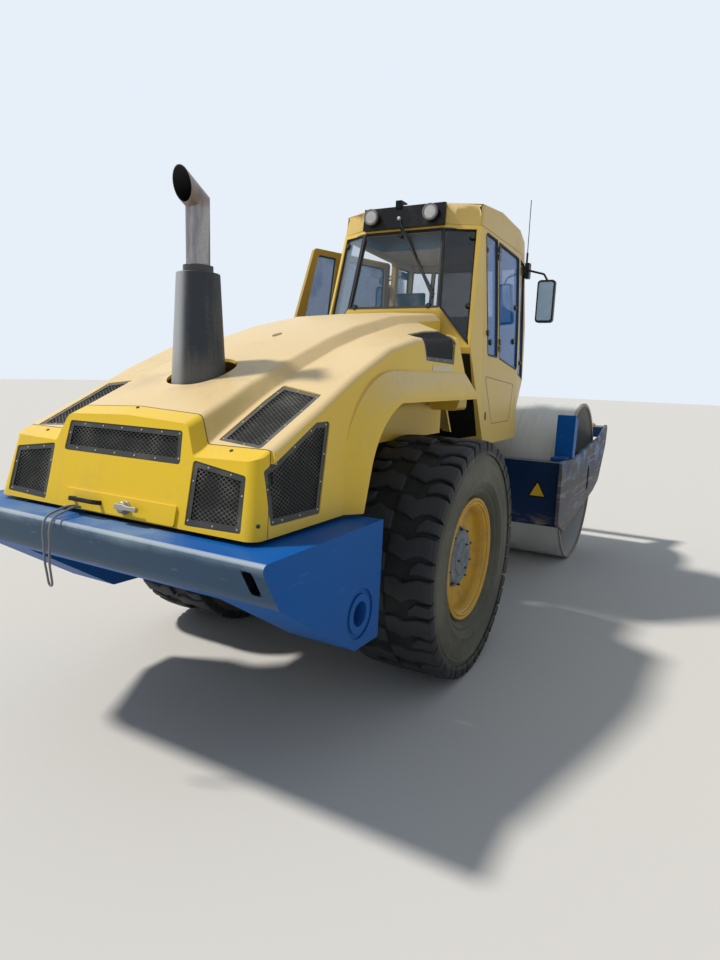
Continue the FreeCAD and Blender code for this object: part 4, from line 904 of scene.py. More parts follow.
def dressGrille(name, side, frames, cells, screws, sheets):
    plane, corners = grilles[name][:2]
    middle = (sum(c[0] for c in corners) / len(corners), sum(c[1] for c in corners) / len(corners))
    spacing, drawnIn = grilles["spacing"], insetCorners(corners, grilles["frameWidth"])
    outer = softLoop(insetCorners(corners, grilles["edgeGap"]), grilles["corner"], spacing)
    inner = softLoop(drawnIn, grilles["innerCorner"], spacing)
    if len(outer) != len(inner):
        inner = softLoop(drawnIn, grilles["innerCorner"], spacing * grilles["closer"])
    count = min(len(outer), len(inner))
    stations = []
    for a, b in zip(outer[:count], inner[:count]):
        (p, normal), (q, other) = panelPoint(plane, side, middle, *a), panelPoint(plane, side, middle, *b)
        if p is None or q is None:
            print(name, "misses its panel at", tuple(a))
            continue
        stations.append((p, q, normal, other))
    points = []
    for p, q, normal, other in stations:
        points += [p + normal * grilles["proud"], q + other * grilles["proud"],
                   q - other * grilles["deep"], p - normal * grilles["deep"]]
    frames.append((points, bandFaces(len(stations), 4)))
    # Screws along the frame's middle line
    since, last = 0.0, None
    for p, q, normal, other in stations:
        at = (p + q) * 0.5
        since += (at - last).length * 1000.0 if last else grilles["screwGap"]
        last = at
        if since >= grilles["screwGap"] - grilles["screwSlack"]:
            screws.append((at + (normal + other) * 0.5 * grilles["proud"], standing(normal, q - p), (1, 1, 1)))
            since = 0.0
    # Mesh cells whose middles lie just inside the frame
    reach = insetCorners(corners, grilles["frameWidth"] - grilles["meshLap"])
    low = [min(c[j] for c in reach) for j in (0, 1)]
    high = [max(c[j] for c in reach) for j in (0, 1)]
    wide, tall = grilles["cellWide"], grilles["cellHigh"]
    if plane == "xy":
        wide, tall = tall, wide
    for i in range(int((high[0] - low[0]) / wide) + 1):
        for j in range(int((high[1] - low[1]) / tall) + 1):
            a, b = low[0] + wide * (i + 0.5), low[1] + tall * (j + 0.5)
            if not holds(reach, a, b):
                continue
            spots = [panelPoint(plane, side, middle, a + da, b + db) for da, db in
                     ((0, 0), (wide / 2, 0), (-wide / 2, 0), (0, tall / 2), (0, -tall / 2))]
            if any(s[0] is None for s in spots):
                continue
            along, across = spots[1][0] - spots[2][0], spots[3][0] - spots[4][0]
            if max(along.length, across.length) > grilles["longestCell"]:
                continue
            sizes = (along.length * 1000.0 / grilles["cellWide"], across.length * 1000.0 / grilles["cellHigh"], 1.0)
            cells.append((spots[0][0] - spots[0][1] * grilles["sunk"], standing(spots[0][1], along), sizes))
    # The dark sheet behind: painted shade for the hood's dark inside
    outline = insetCorners(corners, grilles["sheetGap"])
    edge = [Vector(p) for p in softLoop(outline, grilles["sheetCorner"], grilles["sheetSpacing"])]
    step, inner = grilles["sheetStep"], insetCorners(corners, grilles["sheetInner"])
    inside = [Vector((low[0] + step * i, low[1] + step * j)) for i in range(1, 14) for j in range(1, 9)]
    inside = [p for p in inside if holds(inner, p.x, p.y)]
    flat = edge + inside
    ring = [(k, (k + 1) % len(edge)) for k in range(len(edge))]
    flatPoints, _, flatFaces = delaunay_2d_cdt(flat, ring, [], 1, 0.01)[:3]
    lifted = [panelPoint(plane, side, middle, p.x, p.y) for p in flatPoints]
    if all(s[0] is not None for s in lifted):
        front = [p - n * grilles["behind"] for p, n in lifted]
        rear = [p - n * (grilles["behind"] + grilles["sheetDeep"]) for p, n in lifted]
        count = len(front)
        rows = [tuple(row) for row in flatFaces]
        # Edges in their order of first use, so that the walls always come out alike
        used = dict.fromkeys((row[k], row[(k + 1) % len(row)]) for row in rows for k in range(len(row)))
        walls = [(b, a, a + count, b + count) for a, b in used if (b, a) not in used]
        sheets.append((front + rear, rows + [tuple(k + count for k in reversed(row)) for row in rows] + walls))
    else:
        print(name, "has no sheet behind it")


def dressGrilles():
    frames, cells, screws, sheets = [], [], [], []
    for name in ("rear", "top", "side", "vent", "tail"):
        for side in grilles[name][2]:
            dressGrille(name, side, frames, cells, screws, sheets)
    wide, tall, strand = grilles["cellWide"] / 2.0, grilles["cellHigh"] / 2.0, grilles["strand"] / 2.0
    points, faces = [], []
    for way in (1.0, -1.0):
        along = Vector((wide, tall * way, 0)) / 1000.0
        side = Vector((-along.y, along.x, 0)).normalized() * strand / 1000.0
        low = Vector((0, 0, -grilles["strandDeep"] / 1000.0))
        bar = [-along - side + low, along - side + low, along + side + low, -along + side + low]
        part, rows = prism(bar, -low)
        start = len(points)
        points += part
        faces += [tuple(k + start for k in row) for row in rows]
    cross = solid("mesh_cell", [(points, faces)])
    scattered("grille_mesh", cross, cells, "hood", "mesh_black", replaced=("hood_grilles",))
    made = piece("grille_frames", solid("grille_frames", frames), "hood", "frame_grey", (), 30.0)
    softEdges(made, 0.0012, 2, 40.0)
    piece("grille_sheets", solid("grille_sheets", sheets), "hood", "shade_sheet_black", (), 30.0)
    scattered("grille_screws", headUnit("screw_head", grilles["screwRadius"], grilles["screwHigh"]), screws, "hood",
              "screw_steel", 40.0)


dressGrilles()


# Drive wheels: carcass with ribbed side walls, bent lugs with loose shoulder blocks between, rim, hub and nuts

wheels = {"middle": (0.0, 830.0, 717.0), "top": 715.4, "bend": 717.0, "lugCount": 20,
          "lugLeft": [(4, -52), (60, -66), (104, -88), (150, -58), (196, -52), (262, -72)],
          "lugRight": [(4, 46), (60, 44), (104, 20), (150, 42), (196, 54), (262, 44)],
          "blockLeft": [(140, 66), (186, 80), (262, 70)], "blockRight": [(140, 104), (186, 146), (262, 134)],
          "rows": [(4, -9), (8, -2), (16, 0), (60, 0), (104, 0), (150, 0), (196, -1), (232, -3), (250, -6), (259, -12),
                   (262, -22)],
          "blockRows": [(140, -10), (146, -2), (156, 0), (186, -1), (232, -3), (250, -6), (259, -12), (262, -22)],
          # Circle, height over the wheel's middle plane, count and size
          "nuts": [(172.0, 148.0, 10, 0.75), (84.0, 173.0, 3, 0.6)]}

# Profiles as radius and distance outwards from the wheel's middle plane
tyreProfile = [(318.6, 198), (340, 199), (372, 199), (380, 205), (398, 222), (404, 229), (412, 236), (420, 237),
               (428, 234), (440, 246), (462, 256), (468, 259.5), (476, 259.5), (482, 257.5), (520, 259), (560, 259),
               (596, 256), (601, 258.5), (609, 258), (614, 254), (628, 251), (646, 246), (663, 238), (678, 224),
               (688, 212), (691, 196), (691, 120), (691, 0)]
tyreLining = [(657, 0), (657, 190), (620, 215), (560, 226), (470, 226), (430, 215), (313, 163)]
rimProfile = [(306, -223), (362, -223), (368, -219), (368, -203), (362, -200), (318, -198), (318, 198), (356, 200),
              (366, 203), (369, 210), (368, 218), (362, 223), (354, 222), (350, 217), (347, 212), (344, 213),
              (342, 219), (336, 221), (331, 217), (329, 208), (324, 206), (319, 200), (315, 192), (312, 184),
              (308, 176), (306, 160), (303, 144), (297, 135), (286, 131.5), (262, 130), (240, 132), (214, 134),
              (186, 134), (182, 130), (100, 126), (89, 126), (89, 112), (294, 112), (294, -215)]
hubProfile = [(0, 127), (180, 127), (182, 133), (180, 142), (173, 147), (168, 149), (164, 156), (156, 161),
              (118, 162), (112, 165), (108, 170), (96, 173), (60, 174), (52, 171), (44, 173), (0, 174)]
nutProfile = [(0, -2), (14, -2), (14, 3), (12, 4), (12, 15), (9.5, 17), (6, 17), (6, 24), (0, 24)]


# A value between rows of (y, value)
def along(rows, y):
    for (a, va), (b, vb) in zip(rows, rows[1:]):
        if y <= b:
            return va + (vb - va) * (y - a) / (b - a)
    return rows[-1][1]


# One lug or block: sections across it at each row, bent round the tyre
def lugPart(left, right, rows, side):
    points = []
    for y, drop in rows:
        a, b = along(left, y), along(right, y)
        top = wheels["top"] + drop
        base = 674.0 if y < 196 else 652.0 - (y - 196) * 0.25
        section = [(a - 8, base), (a, top - 9), (a + 4, top - 2.5), (a + 12, top), (b - 12, top), (b - 4, top - 2.5),
                   (b, top - 9), (b + 8, base)]
        for distance, radius in section:
            angle = distance / wheels["bend"]
            points.append(Vector((radius * math.sin(angle), y * side, radius * math.cos(angle))) / 1000.0)
    return points, bandFaces(len(rows), 8, False)


def makeWheel(side, name):
    body, (x, y, z) = "wheel_" + name, wheels["middle"]
    centre, axis = spot(x, y * side, z), Vector((0, side, 0))
    outline = [(r, -a) for r, a in tyreProfile[:-1]] + [(r, a) for r, a in reversed(tyreProfile)]
    lining = [(r, a) for r, a in reversed(tyreLining)] + [(r, -a) for r, a in tyreLining[1:]]
    piece("tyre_" + name + ".carcass", solid("carcass", [turned(outline + lining, centre, axis, 96)]), body,
          "tyre_rubber", ("tyre_" + name,), 24.0)
    unit = solid("lugs", [lugPart(wheels["lugLeft"], wheels["lugRight"], wheels["rows"], side),
                          lugPart(wheels["blockLeft"], wheels["blockRight"], wheels["blockRows"], side)])
    pitch = 2.0 * math.pi / wheels["lugCount"]
    places = []
    for k in range(wheels["lugCount"]):
        places.append((centre, Matrix.Rotation(pitch * k, 3, "Y"), (1, 1, 1)))
        other = Matrix.Rotation(pitch * (k + 0.5), 3, "Y") @ Matrix.Rotation(math.pi, 3, "Z")
        places.append((centre, other, (1, 1, 1)))
    scattered("tyre_" + name + ".lugs", unit, places, body, "tyre_rubber", 35.0)
    piece("rim_" + name + ".dressed", solid("rim", [turned(rimProfile, centre, axis, 96)]), body, "rim_paint",
          ("rim_" + name,), 32.0)
    piece("hub_" + name, solid("hub", [turned(hubProfile, centre, axis, 64)]), body, "hub_grey",
          (), 30.0)
    nuts = []
    for circle, height, count, size in wheels["nuts"]:
        for k in range(count):
            angle = 2.0 * math.pi * (k + 0.5) / count
            out = Vector((math.cos(angle), 0, math.sin(angle)))
            at = centre + out * (circle / 1000.0) + axis * (height / 1000.0)
            nuts.append((at, standing(axis, out), (size, size, size)))
    nut = solid("nut", [turned(nutProfile, Vector((0, 0, 0)), (0, 0, 1), 6)])
    scattered("wheel_nuts_" + name, nut, nuts, body, "dark_frame_paint", 30.0)


for side, name in ((1, "left"), (-1, "right")):
    makeWheel(side, name)
print("wheels dressed")


# Black seals round each pane, standing on its outer face

seals = {"width": 0.010, "lap": 0.009, "high": 0.0125, "low": 0.004, "sunk": 0.001, "lip": 0.0015, "inner": 0.0006,
         "shoulder": (0.002, 0.006), "shortest": 1.5, "facing": 0.93}


# Each pane's outer outline and the way it faces, away from the cab's middle
def paneLoops(node, middle):
    work = bmesh.new()
    work.from_mesh(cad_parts[node].data)
    bmesh.ops.remove_doubles(work, verts=work.verts, dist=0.00002)
    left, loops = set(work.faces), []
    while left:
        island, queue = set(), [next(iter(left))]
        while queue:
            face = queue.pop()
            if face in island:
                continue
            island.add(face)
            for edge in face.edges:
                queue += [other for other in edge.link_faces if other not in island]
        left -= island
        centre = sum((face.calc_center_median() for face in island), Vector()) / len(island)
        out = Vector((centre.x - middle.x, centre.y - middle.y, 0.0))
        biggest = max((face for face in island if face.normal.dot(out) > 0), key=lambda face: face.calc_area())
        facing = biggest.normal.copy()
        region = {face for face in island if face.normal.dot(facing) > seals["facing"]}
        rim = {}
        for face in region:
            for loop in face.loops:
                if not any(other in region for other in loop.edge.link_faces if other is not face):
                    rim[loop.vert] = loop.link_loop_next.vert
        start = next(iter(rim))
        points, here = [start.co.copy()], rim[start]
        while here is not start and here in rim and len(points) < 400:
            points.append(here.co.copy())
            here = rim[here]
        loops.append((points, facing))
    work.free()
    return loops


def sealPart(points, facing):
    across = standing(facing, (0, 0, 1) if abs(facing.z) < 0.9 else (1, 0, 0))
    first, second = across.col[0], across.col[1]
    base = points[0]
    flat = [((p - base).dot(first) * 1000.0, (p - base).dot(second) * 1000.0) for p in points]
    keep = [k for k in range(len(flat)) if (Vector(flat[k]) - Vector(flat[k - 1])).length > seals["shortest"]]
    flat, points = [flat[k] for k in keep], [points[k] for k in keep]
    high, low, sunk, (bend, foot) = seals["high"], seals["low"], seals["sunk"], seals["shoulder"]
    profile = [(-seals["lap"], high - seals["lip"]), (-seals["lap"], high), (bend, high), (foot, low),
               (seals["width"], low), (seals["width"], -sunk), (seals["inner"], -sunk),
               (seals["inner"], high - seals["lip"])]
    levels = [insetCorners(flat, inward * 1000.0) for inward, _ in profile]
    rows = []
    for k in range(len(points)):
        for (a, b), (inward, height) in zip([level[k] for level in levels], profile):
            q = points[k] + first * ((a - flat[k][0]) / 1000.0) + second * ((b - flat[k][1]) / 1000.0)
            rows.append(q + facing * height)
    return rows, bandFaces(len(points), len(profile))


# Glass, body, seals' name and a place inside the cab to look out from
for node, body, name, inside in (("cab_glass", "rear_frame", "cab_seals", (1650, 0, 2200)),
                                 ("door_glass", "door_left", "door_seals", (1500, 200, 2200))):
    parts = [sealPart(points, facing) for points, facing in paneLoops(node, spot(*inside))]
    piece(name, solid(name, parts), body, "seal_rubber", (), 30.0)
print("seals laid")


# Small fittings. Places are in millimetres from the rear axle's line

def fitting(name, parts, body, finish, edge=0.0, replaced=(), angle=30.0, segments=2):
    made = piece(name, solid(name, parts), body, finish, replaced, angle)
    if edge:
        softEdges(made, edge, segments)
    return made


lamps = {"ring": 3.0, "lip": 7.0, "sides": 40,
         # x, y, z, the lamp's radius and the way it looks along x
         "places": [(962, 250, 2978, 56, -1), (962, -243, 2978, 56, -1),
                    (2490, 240, 2960, 45, 1), (2490, -240, 2960, 45, 1)]}


def makeLamps():
    rings, lenses = [], []
    for x, y, z, radius, way in lamps["places"]:
        outer, inner = radius + lamps["ring"], radius - lamps["lip"]
        ring = [(outer, -16), (outer, 2), (radius, 5), (inner, 5), (inner - 2, 0), (inner - 2, -2), (radius - 2, -16)]
        lens = [(0, 3.5), (radius * 0.5, 2.6), (inner - 3, 0.5), (inner - 3, -1), (0, -1)]
        rings.append(turned(ring, spot(x, y, z), (way, 0, 0), lamps["sides"]))
        lenses.append(turned(lens, spot(x, y, z), (way, 0, 0), lamps["sides"]))
    fitting("lamp_rings", rings, "rear_frame", "trim_grey")
    fitting("lamp_lenses", lenses, "rear_frame", "lamp_glass")


# The header's profile in x and z, and the lining's left half in x and y
cabTrim = {"header": [(990, 2884), (1030, 2884), (1046, 3049), (1014, 3049)],
           "headerFrom": -344.0, "headerLong": 0.676,
           "lining": [(1085, 285), (1196, 528), (2078, 548), (2318, 505), (2370, 280)], "liningLow": 2866.0,
           "liningDeep": 0.014, "edge": 0.004}


# Header above the rear window and the ceiling's lining
def makeCabTrim():
    header = prism([spot(x, cabTrim["headerFrom"], z) for x, z in cabTrim["header"]], (0, cabTrim["headerLong"], 0))
    fitting("cab_header", [header], "rear_frame", "black_gloss", cabTrim["edge"])
    plan = [(x, -y) for x, y in cabTrim["lining"]] + cabTrim["lining"][::-1]
    lining = prism([spot(x, y, cabTrim["liningLow"]) for x, y in plan], (0, 0, cabTrim["liningDeep"]))
    fitting("cab_lining", [lining], "rear_frame", "black_plastic", cabTrim["edge"])


# The left face's corners in y and z, and the right mirror's foot
mirror = {"x": 2264.0, "face": [(742, 2304), (869, 2304), (871, 2632), (744, 2632)], "corner": 20.0, "rim": 10.0,
          "rimCorner": 26.0, "rimFront": 2.0, "rimBack": -6.0, "thick": 0.002,
          "foot": ((2286, 2352), (-640, -598), (2672, 2806)), "footEdge": 0.006}


def makeMirrors():
    faces, rims, spacing = [], [], 400.0
    flat = softLoop(mirror["face"], mirror["corner"], spacing)
    outline = insetCorners(mirror["face"], -mirror["rim"])
    outer = softLoop(outline, mirror["rimCorner"], spacing)
    inner = softLoop(insetCorners(outline, mirror["rim"]), mirror["corner"], spacing)
    for side in (1, -1):
        faces.append(prism([spot(mirror["x"] - 0.4, a * side, b) for a, b in flat], (-mirror["thick"], 0, 0)))
        points = []
        for a, b in zip(outer, inner):
            for at, x in ((a, "rimFront"), (a, "rimBack"), (b, "rimBack"), (b, "rimFront")):
                points.append(spot(mirror["x"] + mirror[x], at.x * side, at.y))
        rims.append((points, bandFaces(len(outer), 4)))
    fitting("mirror_faces", faces, "rear_frame", "mirror_painted_sky")
    fitting("mirror_rims", rims, "rear_frame", "black_plastic")
    foot = block(*mirror["foot"])
    fitting("mirror_foot", [foot], "rear_frame", "black_plastic", mirror["footEdge"])


# On the right wall: knobs as x, z and size, plugs and hinges as x and z, and the number panel's corners
cabSide = {"knobs": [(1284, 2742, 1.25), (1290, 2129, 1.4), (1386, 2064, 1.4), (1975, 2103, 1.5), (2008, 2388, 1.3),
                     (2250, 1930, 1.2)],
           "plugs": [(1279, 1494), (2140, 1640)], "plugSize": (1.25, 2.6, 0.5),
           "hinges": [(1545, 2756), (1590, 2050)], "hingeHalf": 26.0, "hingeLeaves": [(-50, -6), (6, 50)],
           "hingeOff": 0.006, "hingeDeep": 0.014,
           "panel": [(1253, 1803), (1432, 1425), (1899, 1426), (2000, 1743)], "panelLine": 7.0}

# On the rear panes: a knob's place and its pane's normal
rearKnobs = {"size": (1.35, 1.35, 1.2),
             "places": [((905.8, 330, 2297), (-0.97, 0, 0.22)), ((905.8, -295, 2297), (-0.97, 0, 0.22)),
                        ((1029.4, 10, 2838), (-0.97, 0, 0.22)), ((1004.7, -568.8, 2302), (-0.86, -0.45, 0.24)),
                        ((1120.6, -528.2, 2803), (-0.86, -0.45, 0.24)), ((1120.6, 528.2, 2803), (-0.86, 0.45, 0.24))]}


# What finds a point on the right wall or its panes, and the normal there
def sideFinder():
    points, rows = [], []
    for node in ("cab_right_wall", "cab_glass"):
        mesh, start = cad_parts[node].data, len(points)
        points += [vert.co.copy() for vert in mesh.vertices]
        rows += [tuple(k + start for k in face.vertices) for face in mesh.polygons]
    tree = BVHTree.FromPolygons(points, rows)

    def onSide(x, z):
        hit, normal = tree.ray_cast(spot(x, -1100, z), Vector((0, 1, 0)))[:2]
        if hit is None or abs(normal.y) < 0.5:
            hit, normal = tree.find_nearest(spot(x, -640, z))[0], Vector((0, -1, 0.04))
        return hit, normal if normal.y < 0 else -normal

    return onSide


def makeSideFittings():
    onSide = sideFinder()
    knobs, plugs, hinges = [], [], []
    for x, z, size in cabSide["knobs"]:
        at, normal = onSide(x, z)
        knobs.append((at, standing(normal, (1, 0, 0)), (size, size, 1.0)))
    for place, normal in rearKnobs["places"]:
        knobs.append((spot(*place), standing(normal, (0, 1, 0)), rearKnobs["size"]))
    knob = headUnit("window_knob", 17.0, 15.0, 16)
    scattered("window_knobs", knob, knobs, "rear_frame", "knob_black", 35.0)
    for x, z in cabSide["plugs"]:
        at, normal = onSide(x, z)
        plugs.append((at, standing(normal, (1, 0, 0)), cabSide["plugSize"]))
    plug = headUnit("plug", 14.0, 8.0, 20)
    scattered("side_plugs", plug, plugs, "rear_frame", "knob_black", 35.0)
    half = cabSide["hingeHalf"]
    for x, z in cabSide["hinges"]:
        at, normal = onSide(x, z)
        at = at + normal * cabSide["hingeOff"]
        for low, high in cabSide["hingeLeaves"]:
            leaf = [(-half, low), (half, low), (half, high), (-half, high)]
            hinges.append(prism([at + Vector((a, 0, b)) / 1000.0 for a, b in leaf], normal * cabSide["hingeDeep"]))
    fitting("window_hinges", hinges, "rear_frame", "knob_black", 0.003)
    makeNumberPanel(onSide)


# The number panel keeps its outline and stays blank
def makeNumberPanel(onSide):
    corners, spacing = cabSide["panel"], 120.0
    outer = softLoop(corners, 20.0, spacing)
    inner = softLoop(insetCorners(corners, cabSide["panelLine"]), 15.0, spacing)
    points = []
    for a, b in zip(outer, inner):
        (p, n), (q, m) = onSide(*a), onSide(*b)
        points += [p + n * 0.0016, q + m * 0.0016, q - m * 0.001, p - n * 0.001]
    line = (points, bandFaces(len(points) // 4, 4))
    fitting("panel_outline", [line], "rear_frame", "yellow_dark")


# The tail's raised pad: its foot's place and lean, and what stands on it. The grip is y and height over the pad,
# the lever y and z at one height
tail = {"lean": 0.24, "x": -1731.0, "z": 1169.0, "pad": 10.0, "row": 1196.0,
        "grip": [(52, -4), (52, 26), (62, 36), (140, 38), (212, 36), (222, 26), (222, -4)], "gripWide": 20.0,
        "gripDeep": 13.0, "lockY": -105.0, "leverHigh": 22.0, "leverDeep": 0.017,
        "barrel": [(0, -3), (30, -3), (30, 5), (26, 8), (26, 24), (22, 30), (13, 31), (13, 26), (0, 26)],
        "lever": [(-78, 1207), (-78, 1187), (-120, 1183), (-150, 1187), (-204, 1186), (-208, 1196), (-204, 1206),
                  (-150, 1205), (-120, 1210)],
        "keyhole": [(0, -2), (12.5, -2), (12.5, 1), (0, 1)],
        # Bolts along the seam on the left, with the normals there, and the one in the middle
        "bolts": [((-1606, 578, 1470.3), (-0.44, 0, 0.9)), ((-1693.5, 784.1, 1207.6), (-0.53, 0.82, 0.23))],
        "middleBolt": ((-1562.6, 0, 1608.9), (-0.37, 0, 0.93))}


# A place on the pad, proud of it by some millimetres
def onTail(y, z, proud=0.0):
    out = Vector((-1.0, 0.0, tail["lean"])).normalized()
    return spot(tail["x"] + (z - tail["z"]) * tail["lean"] - tail["pad"], y, z) + out * (proud / 1000.0)


# Grab handle, latch, its keyhole and the seam's bolts
def makeTailFittings():
    out = Vector((-1.0, 0.0, tail["lean"])).normalized()
    path = [onTail(y, tail["row"], proud) for y, proud in tail["grip"]]
    grip = flatBand(path, (tail["lean"], 0, 1), tail["gripWide"], tail["gripDeep"])
    fitting("tail_grip", [grip], "hood", "black_gloss", 0.004, ("tail_handle",), 30.0, 3)
    lever = prism([onTail(y, z, tail["leverHigh"]) for y, z in tail["lever"]], out * tail["leverDeep"])
    barrel = turned(tail["barrel"], onTail(tail["lockY"], tail["row"]), out, 32)
    fitting("tail_lock", [barrel, lever], "hood", "lock_steel", 0.0035, ("tail_latch",), 35.0, 3)
    keyhole = turned(tail["keyhole"], onTail(tail["lockY"], tail["row"], 27), out, 24)
    fitting("tail_keyhole", [keyhole], "hood", "knob_black", angle=35.0)
    bolts = []
    for side in (1, -1):
        for (x, y, z), (a, b, c) in tail["bolts"]:
            bolts.append((spot(x, y * side, z), standing((a, b * side, c), (0, 0, 1)), (1, 1, 1)))
    place, normal = tail["middleBolt"]
    bolts.append((spot(*place), standing(normal, (0, 1, 0)), (1, 1, 1)))
    scattered("seam_bolts", headUnit("seam_bolt", 8.5, 4.0), bolts, "hood", "knob_black", 35.0)


# The pale strip's corners below the left vent, and the oval plate on the spine
plates = {"strip": [(-100, 784.6, 1822), (215, 785.6, 1820), (215, 783.6, 1851), (-96, 782.9, 1848)],
          "stripDeep": 0.0016, "oval": (-572.7, -22.5, 1993.6), "ovalNormal": (-0.29, 0, 0.957),
          "ovalHalf": (0.040, 0.020), "ovalSunk": 0.001, "ovalDeep": 0.003, "points": 24}


def makePlates():
    strips = []
    for side in (1, -1):
        loop = [spot(x, y * side, z) for x, y, z in plates["strip"]]
        strips.append(prism(loop, (0, plates["stripDeep"] * side, 0)))
    fitting("hood_strips", strips, "hood", "decal_pale")
    turn, middle = standing(plates["ovalNormal"], (1, 0, 0)), spot(*plates["oval"])
    long, wide = plates["ovalHalf"]
    loop = []
    for k in range(plates["points"]):
        angle = 2.0 * math.pi * k / plates["points"]
        loop.append(middle + turn @ Vector((long * math.cos(angle), wide * math.sin(angle), -plates["ovalSunk"])))
    oval = prism(loop, turn @ Vector((0, 0, plates["ovalDeep"])))
    fitting("hood_plate", [oval], "hood", "yellow_dark")


# Rear wiper: the blade's upper and lower end, the arm's run and its pivot on the visor
wiper = {"blade": [(1000.7, -76.3, 2773.7), (907.3, -324.2, 2365.0)], "back": 0.12, "glassNormal": (-0.97, 0, 0.22),
         "bladeWide": 20.0, "bladeDeep": 12.0, "armRadius": 0.006,
         "arm": [(996, 19, 2950), (984, -12, 2890), (988, -52, 2826), (974, -104, 2738), (950, -160, 2640)],
         "pivot": (1003, 19.2, 2952.6), "pivotWay": (-0.99, 0, 0.17),
         "pivotProfile": [(0, -6), (17, -6), (17, 12), (12, 20), (0, 22)]}


def makeWiper():
    first, last = (spot(*end) for end in wiper["blade"])
    way = last - first
    blade = flatBand([first - way * wiper["back"], last], way.cross(Vector(wiper["glassNormal"])),
                     wiper["bladeWide"], wiper["bladeDeep"])
    arm = tube([spot(*place) for place in wiper["arm"]], wiper["armRadius"])
    fitting("wiper_blade", [blade, arm], "rear_frame", "knob_black", angle=40.0)
    pivot = turned(wiper["pivotProfile"], spot(*wiper["pivot"]), wiper["pivotWay"], 24)
    fitting("wiper_pivot", [pivot], "rear_frame", "lock_steel", angle=40.0)


# Blank warning triangle on the front frame's rear beam: half its width, its height and how far it is lifted,
# then a small orange lamp on the nose beam's right end
sign = {"place": (2052.0, -922.0, 762.0), "thick": 0.0022,
        "sheets": [("sign_border", 84.0, 156.0, 0.0, 0.0, "black_gloss"),
                   ("sign_field", 64.0, 119.0, 12.58, -1.2, "sign_yellow")]}
noseLamp = {"place": (4075, -1000, 1291), "profile": [(0, -2), (34, -2), (34, 6), (30, 20), (20, 30), (0, 34)]}


def makeSigns():
    x, y, z = sign["place"]
    for name, half, high, lift, proud, finish in sign["sheets"]:
        low = z + lift
        loop = [spot(x + proud, y - half, low), spot(x + proud, y + half, low), spot(x + proud, y, low + high)]
        fitting(name, [prism(loop, (-sign["thick"], 0, 0))], "front_frame", finish)
    lamp = turned(noseLamp["profile"], spot(*noseLamp["place"]), (0, 0, 1), 28)
    fitting("nose_lamp", [lamp], "front_frame", "lamp_orange", angle=40.0)


# Seat pads: the plain solid drawn in a little, then blown up as cloth
pads = {"voxel": 0.008, "start": 0.012, "quickShare": 0.8, "pressure": 1.6, "frames": 20, "cap": 0.024,
        "channel": 0.155, "channelWide": 0.0075, "channelDeep": 0.007, "side": 0.257, "low": 1.6006}


def padStart():
    work = bmesh.new()
    work.from_mesh(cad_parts["seat_cushions"].data)
    bmesh.ops.remove_doubles(work, verts=work.verts, dist=0.00002)
    work.normal_update()
    for vert, normal in [(vert, vert.normal.copy()) for vert in work.verts]:
        vert.co -= normal * pads["start"]
    mesh = bpy.data.meshes.new("pad_start")
    work.to_mesh(mesh)
    work.free()
    carrier = bpy.data.objects.new("pad_start", mesh)
    bpy.context.scene.collection.objects.link(carrier)
    voxels = carrier.modifiers.new("voxels", "REMESH")
    voxels.mode, voxels.voxel_size = "VOXEL", pads["voxel"]
    ready = bpy.context.evaluated_depsgraph_get()
    ready.update()
    even = bpy.data.meshes.new_from_object(carrier.evaluated_get(ready), depsgraph=ready)
    carrier.modifiers.remove(voxels)
    carrier.data = even
    return carrier


def makeSeatPads():
    scene, carrier = bpy.context.scene, padStart()
    starts = [vert.co.copy() for vert in carrier.data.vertices]
    cloth = carrier.modifiers.new("cloth", "CLOTH")
    cloth.settings.quality = 4
    cloth.settings.use_pressure = True
    cloth.settings.uniform_pressure_force = pads["pressure"]
    cloth.settings.effector_weights.gravity = 0.0
    cloth.point_cache.frame_end = pads["frames"]
    for step in range(1, pads["frames"] + 1):
        scene.frame_set(step)
    ready = bpy.context.evaluated_depsgraph_get()
    mesh = bpy.data.meshes.new_from_object(carrier.evaluated_get(ready), depsgraph=ready)
    carrier.modifiers.remove(cloth)
    scene.frame_set(1)
    reach = 0.0
    for vert, start in zip(mesh.vertices, starts):
        move = vert.co - start
        reach = max(reach, move.length)
        if move.length > pads["cap"]:
            vert.co = start + move.normalized() * pads["cap"]
    print("pads blown up, farthest point moved", round(reach * 1000.0, 1), "mm")
    bpy.data.objects.remove(carrier)
    # Sewn channels, and flat where the pad rests on the seat pan
    for vert, normal in [(vert, vert.normal.copy()) for vert in mesh.vertices]:
        away = (abs(vert.co.y) - pads["channel"]) / pads["channelWide"]
        vert.co -= normal * (pads["channelDeep"] * math.exp(-away * away))
        vert.co.z = max(vert.co.z, pads["low"])
        vert.co.y = min(max(vert.co.y, -pads["side"]), pads["side"])
    made = piece("seat_pads", mesh, "rear_frame", "seat_fabric", ("seat_cushions",))
    for face in mesh.polygons:
        face.use_smooth = True
    finer = made.modifiers.new("finer", "SUBSURF")
    finer.levels = finer.render_levels = 1
    print("seat pads:", len(mesh.polygons), "faces")


makeLamps()
makeCabTrim()
makeMirrors()
makeSeatPads()
makeSideFittings()
makeTailFittings()
makePlates()
makeWiper()
makeSigns()
print("fittings made")


# Pull cord looped over the bumper's edge: its route's points as in the source, in metres
cordPull = {"diameter": 0.010, "length": 0.935,
            "route": [(-1742.29, 214.0, 1163.63), (-1773, 214, 1171), (-1838, 203, 1161), (-1902, 190, 1150),
                      (-1926, 184, 1104), (-1923, 183, 1036), (-1929, 176, 962), (-1924, 168, 898),
                      (-1920, 166, 851), (-1920, 141, 851), (-1925, 140, 896), (-1930, 143, 960),
                      (-1924, 140, 1035), (-1928, 138, 1104), (-1901, 143, 1151), (-1836, 161, 1160),
                      (-1772, 178, 1171), (-1742.24, 178.0, 1163.86)]}


